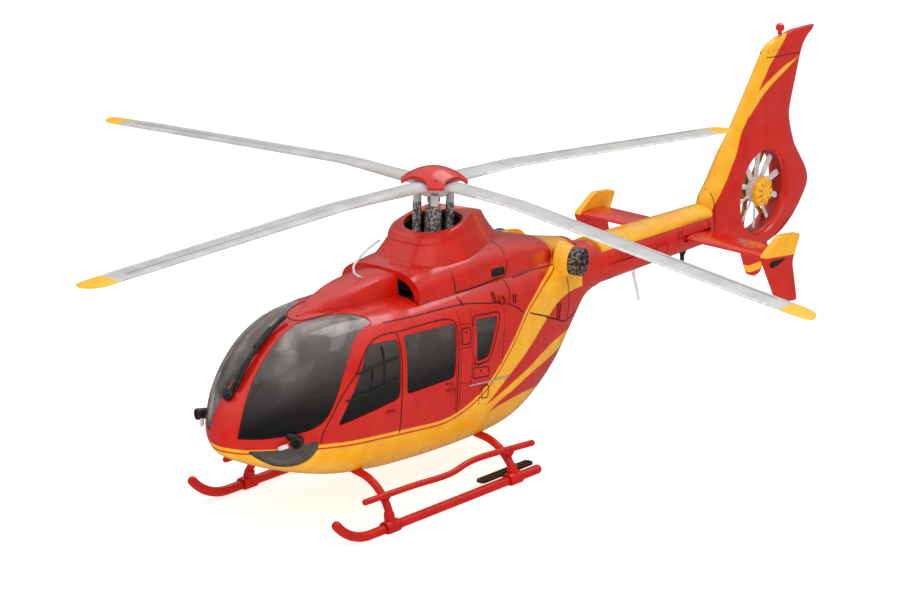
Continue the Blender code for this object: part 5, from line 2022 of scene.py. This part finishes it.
def make_lights():
    """Three soft boxes, of which only the top one shows in the gloss."""
    middle = Vector((0, 0.01, 0.02))
    for name, spot, size, power in (
        ("key_box", (0.45, -0.35, 0.6), 0.5, 2.3),
        ("top_box", (-0.05, 0.35, 0.6), 0.4, 1.1),
        ("fill_box", (-0.45, -0.45, 0.3), 0.4, 0.5),
    ):
        light = bpy.data.lights.new(name, "AREA")
        light.shape = "SQUARE"
        light.size = size
        light.energy = power
        lamp = bpy.data.objects.new(name, light)
        bpy.context.scene.collection.objects.link(lamp)
        lamp.location = spot
        lamp.visible_glossy = name == "top_box"
        aim = middle - Vector(spot)
        lamp.rotation_euler = aim.to_track_quat("-Z", "Y").to_euler()


def make_camera():
    """A long lens, a little above the nose and to port of it."""
    azimuth, elevation, roll = math.radians(38.05), math.radians(16.73), math.radians(1.96)
    target, distance = Vector((-9.35, 16.70 + MAST_Y, 21.0)), 586.43
    back = Vector(
        (
            math.sin(azimuth) * math.cos(elevation),
            -math.cos(azimuth) * math.cos(elevation),
            math.sin(elevation),
        )
    )
    right = Vector((math.cos(azimuth), math.sin(azimuth), 0))
    up = back.cross(right)
    across = right * math.cos(roll) + up * math.sin(roll)
    upright = up * math.cos(roll) - right * math.sin(roll)
    data = bpy.data.cameras.new("camera")
    data.sensor_width = 36.0
    data.lens = 151.35
    data.clip_start = 0.01
    camera = bpy.data.objects.new("camera", data)
    bpy.context.scene.collection.objects.link(camera)
    turn = Matrix((across, upright, back)).transposed().to_4x4()
    camera.matrix_world = Matrix.Translation((target + back * distance) * MM) @ turn
    bpy.context.scene.camera = camera
    bpy.context.scene.view_settings.view_transform = "Standard"


CUTTERS = set()

BODY_PAINT = gloss_paint("livery_paint", "red_paint", hull_livery)
FIN_PAINT = gloss_paint("fin_paint", "red_paint", fin_livery)
TIP_PAINT = gloss_paint("tip_plate_paint", "red_paint", end_plate_livery)
VENTRAL_PAINT = gloss_paint("lower_fin_paint", "red_paint", ventral_livery)
PLAIN_RED = gloss_paint("red_enamel", "red_paint")
GEAR_PAINT = plastic("gear_enamel", "red_paint", tone(206, 16, 10), tone(186, 12, 8), (0.2, 0.3), 0.8, 0.005)
PLAIN_YELLOW = gloss_paint("yellow_enamel", "yellow_paint", 1.0)
BLADE_PAINT = blade_paint()
GLASS = smoked_clear("smoked_clear")
METAL = speckled_metal("mast_metal", tone(98, 93, 90), tone(224, 219, 215))
PIPE_METAL = speckled_metal("pipe_metal", tone(50, 45, 43), tone(150, 142, 138))
BLACK = plastic("satin_black", "black_plastic", tone(44, 42, 42), tone(18, 17, 18))
LINE = plastic("panel_wash", "red_paint", tone(92, 14, 10), tone(60, 8, 6), (0.5, 0.7))
DEEP_PAINT = plastic("deep_red", "red_paint", tone(168, 24, 18), tone(140, 14, 10), (0.25, 0.4))
SILVER = plastic(
    "silver_strip", "dark_steel", tone(205, 190, 186), tone(170, 158, 156), (0.3, 0.5), Metallic=0.4
)
EDGE_GREY = plastic("blade_seam", "blade_grey", tone(150, 147, 146), tone(128, 126, 125), (0.5, 0.6))
# Whiter paint for the blades' leading edges: painted highlight.
EDGE_HIGHLIGHT_WHITE = plastic("edge_trim_paint", "blade_grey", tone(236, 234, 232), tone(210, 208, 206), (0.35, 0.5))
FAN_WHITE = plastic("fan_white", "white_plastic", tone(226, 222, 220), tone(196, 186, 184), (0.35, 0.5))
WHITE = plastic("lamp_white", "white_plastic", tone(235, 233, 230), tone(205, 202, 200), (0.3, 0.45))
# Ochre mottled with dark brown, for the stator and for the painted shade in the fan cap's valleys.
OCHRE = plastic("ochre_wash", "yellow_paint", tone(206, 140, 30), tone(92, 52, 18), (0.45, 0.65), 3.2)
INTERIOR = plastic("interior_grey_paint", "interior_grey", tone(74, 72, 74), tone(48, 47, 50), (0.55, 0.7))
DIAL = plastic("dial_faces", "interior_grey", tone(150, 152, 156), tone(110, 112, 118), (0.2, 0.4))
FABRIC = woven("seat_weave", "interior_grey", tone(86, 84, 86), tone(48, 46, 50))

make_hull()
make_panes()
make_cabin()
make_engine_deck()
make_seams()
make_ramp_seams()
make_hatches()
make_side_fittings()
make_landing_gear()
make_fin()
make_boom()
make_stabiliser()
make_tail_fan()
make_fittings()
make_rotor()
make_studio()
make_camera()

for cutter_name in CUTTERS:
    if cutter_name in bpy.data.objects:
        bpy.data.objects.remove(bpy.data.objects[cutter_name])
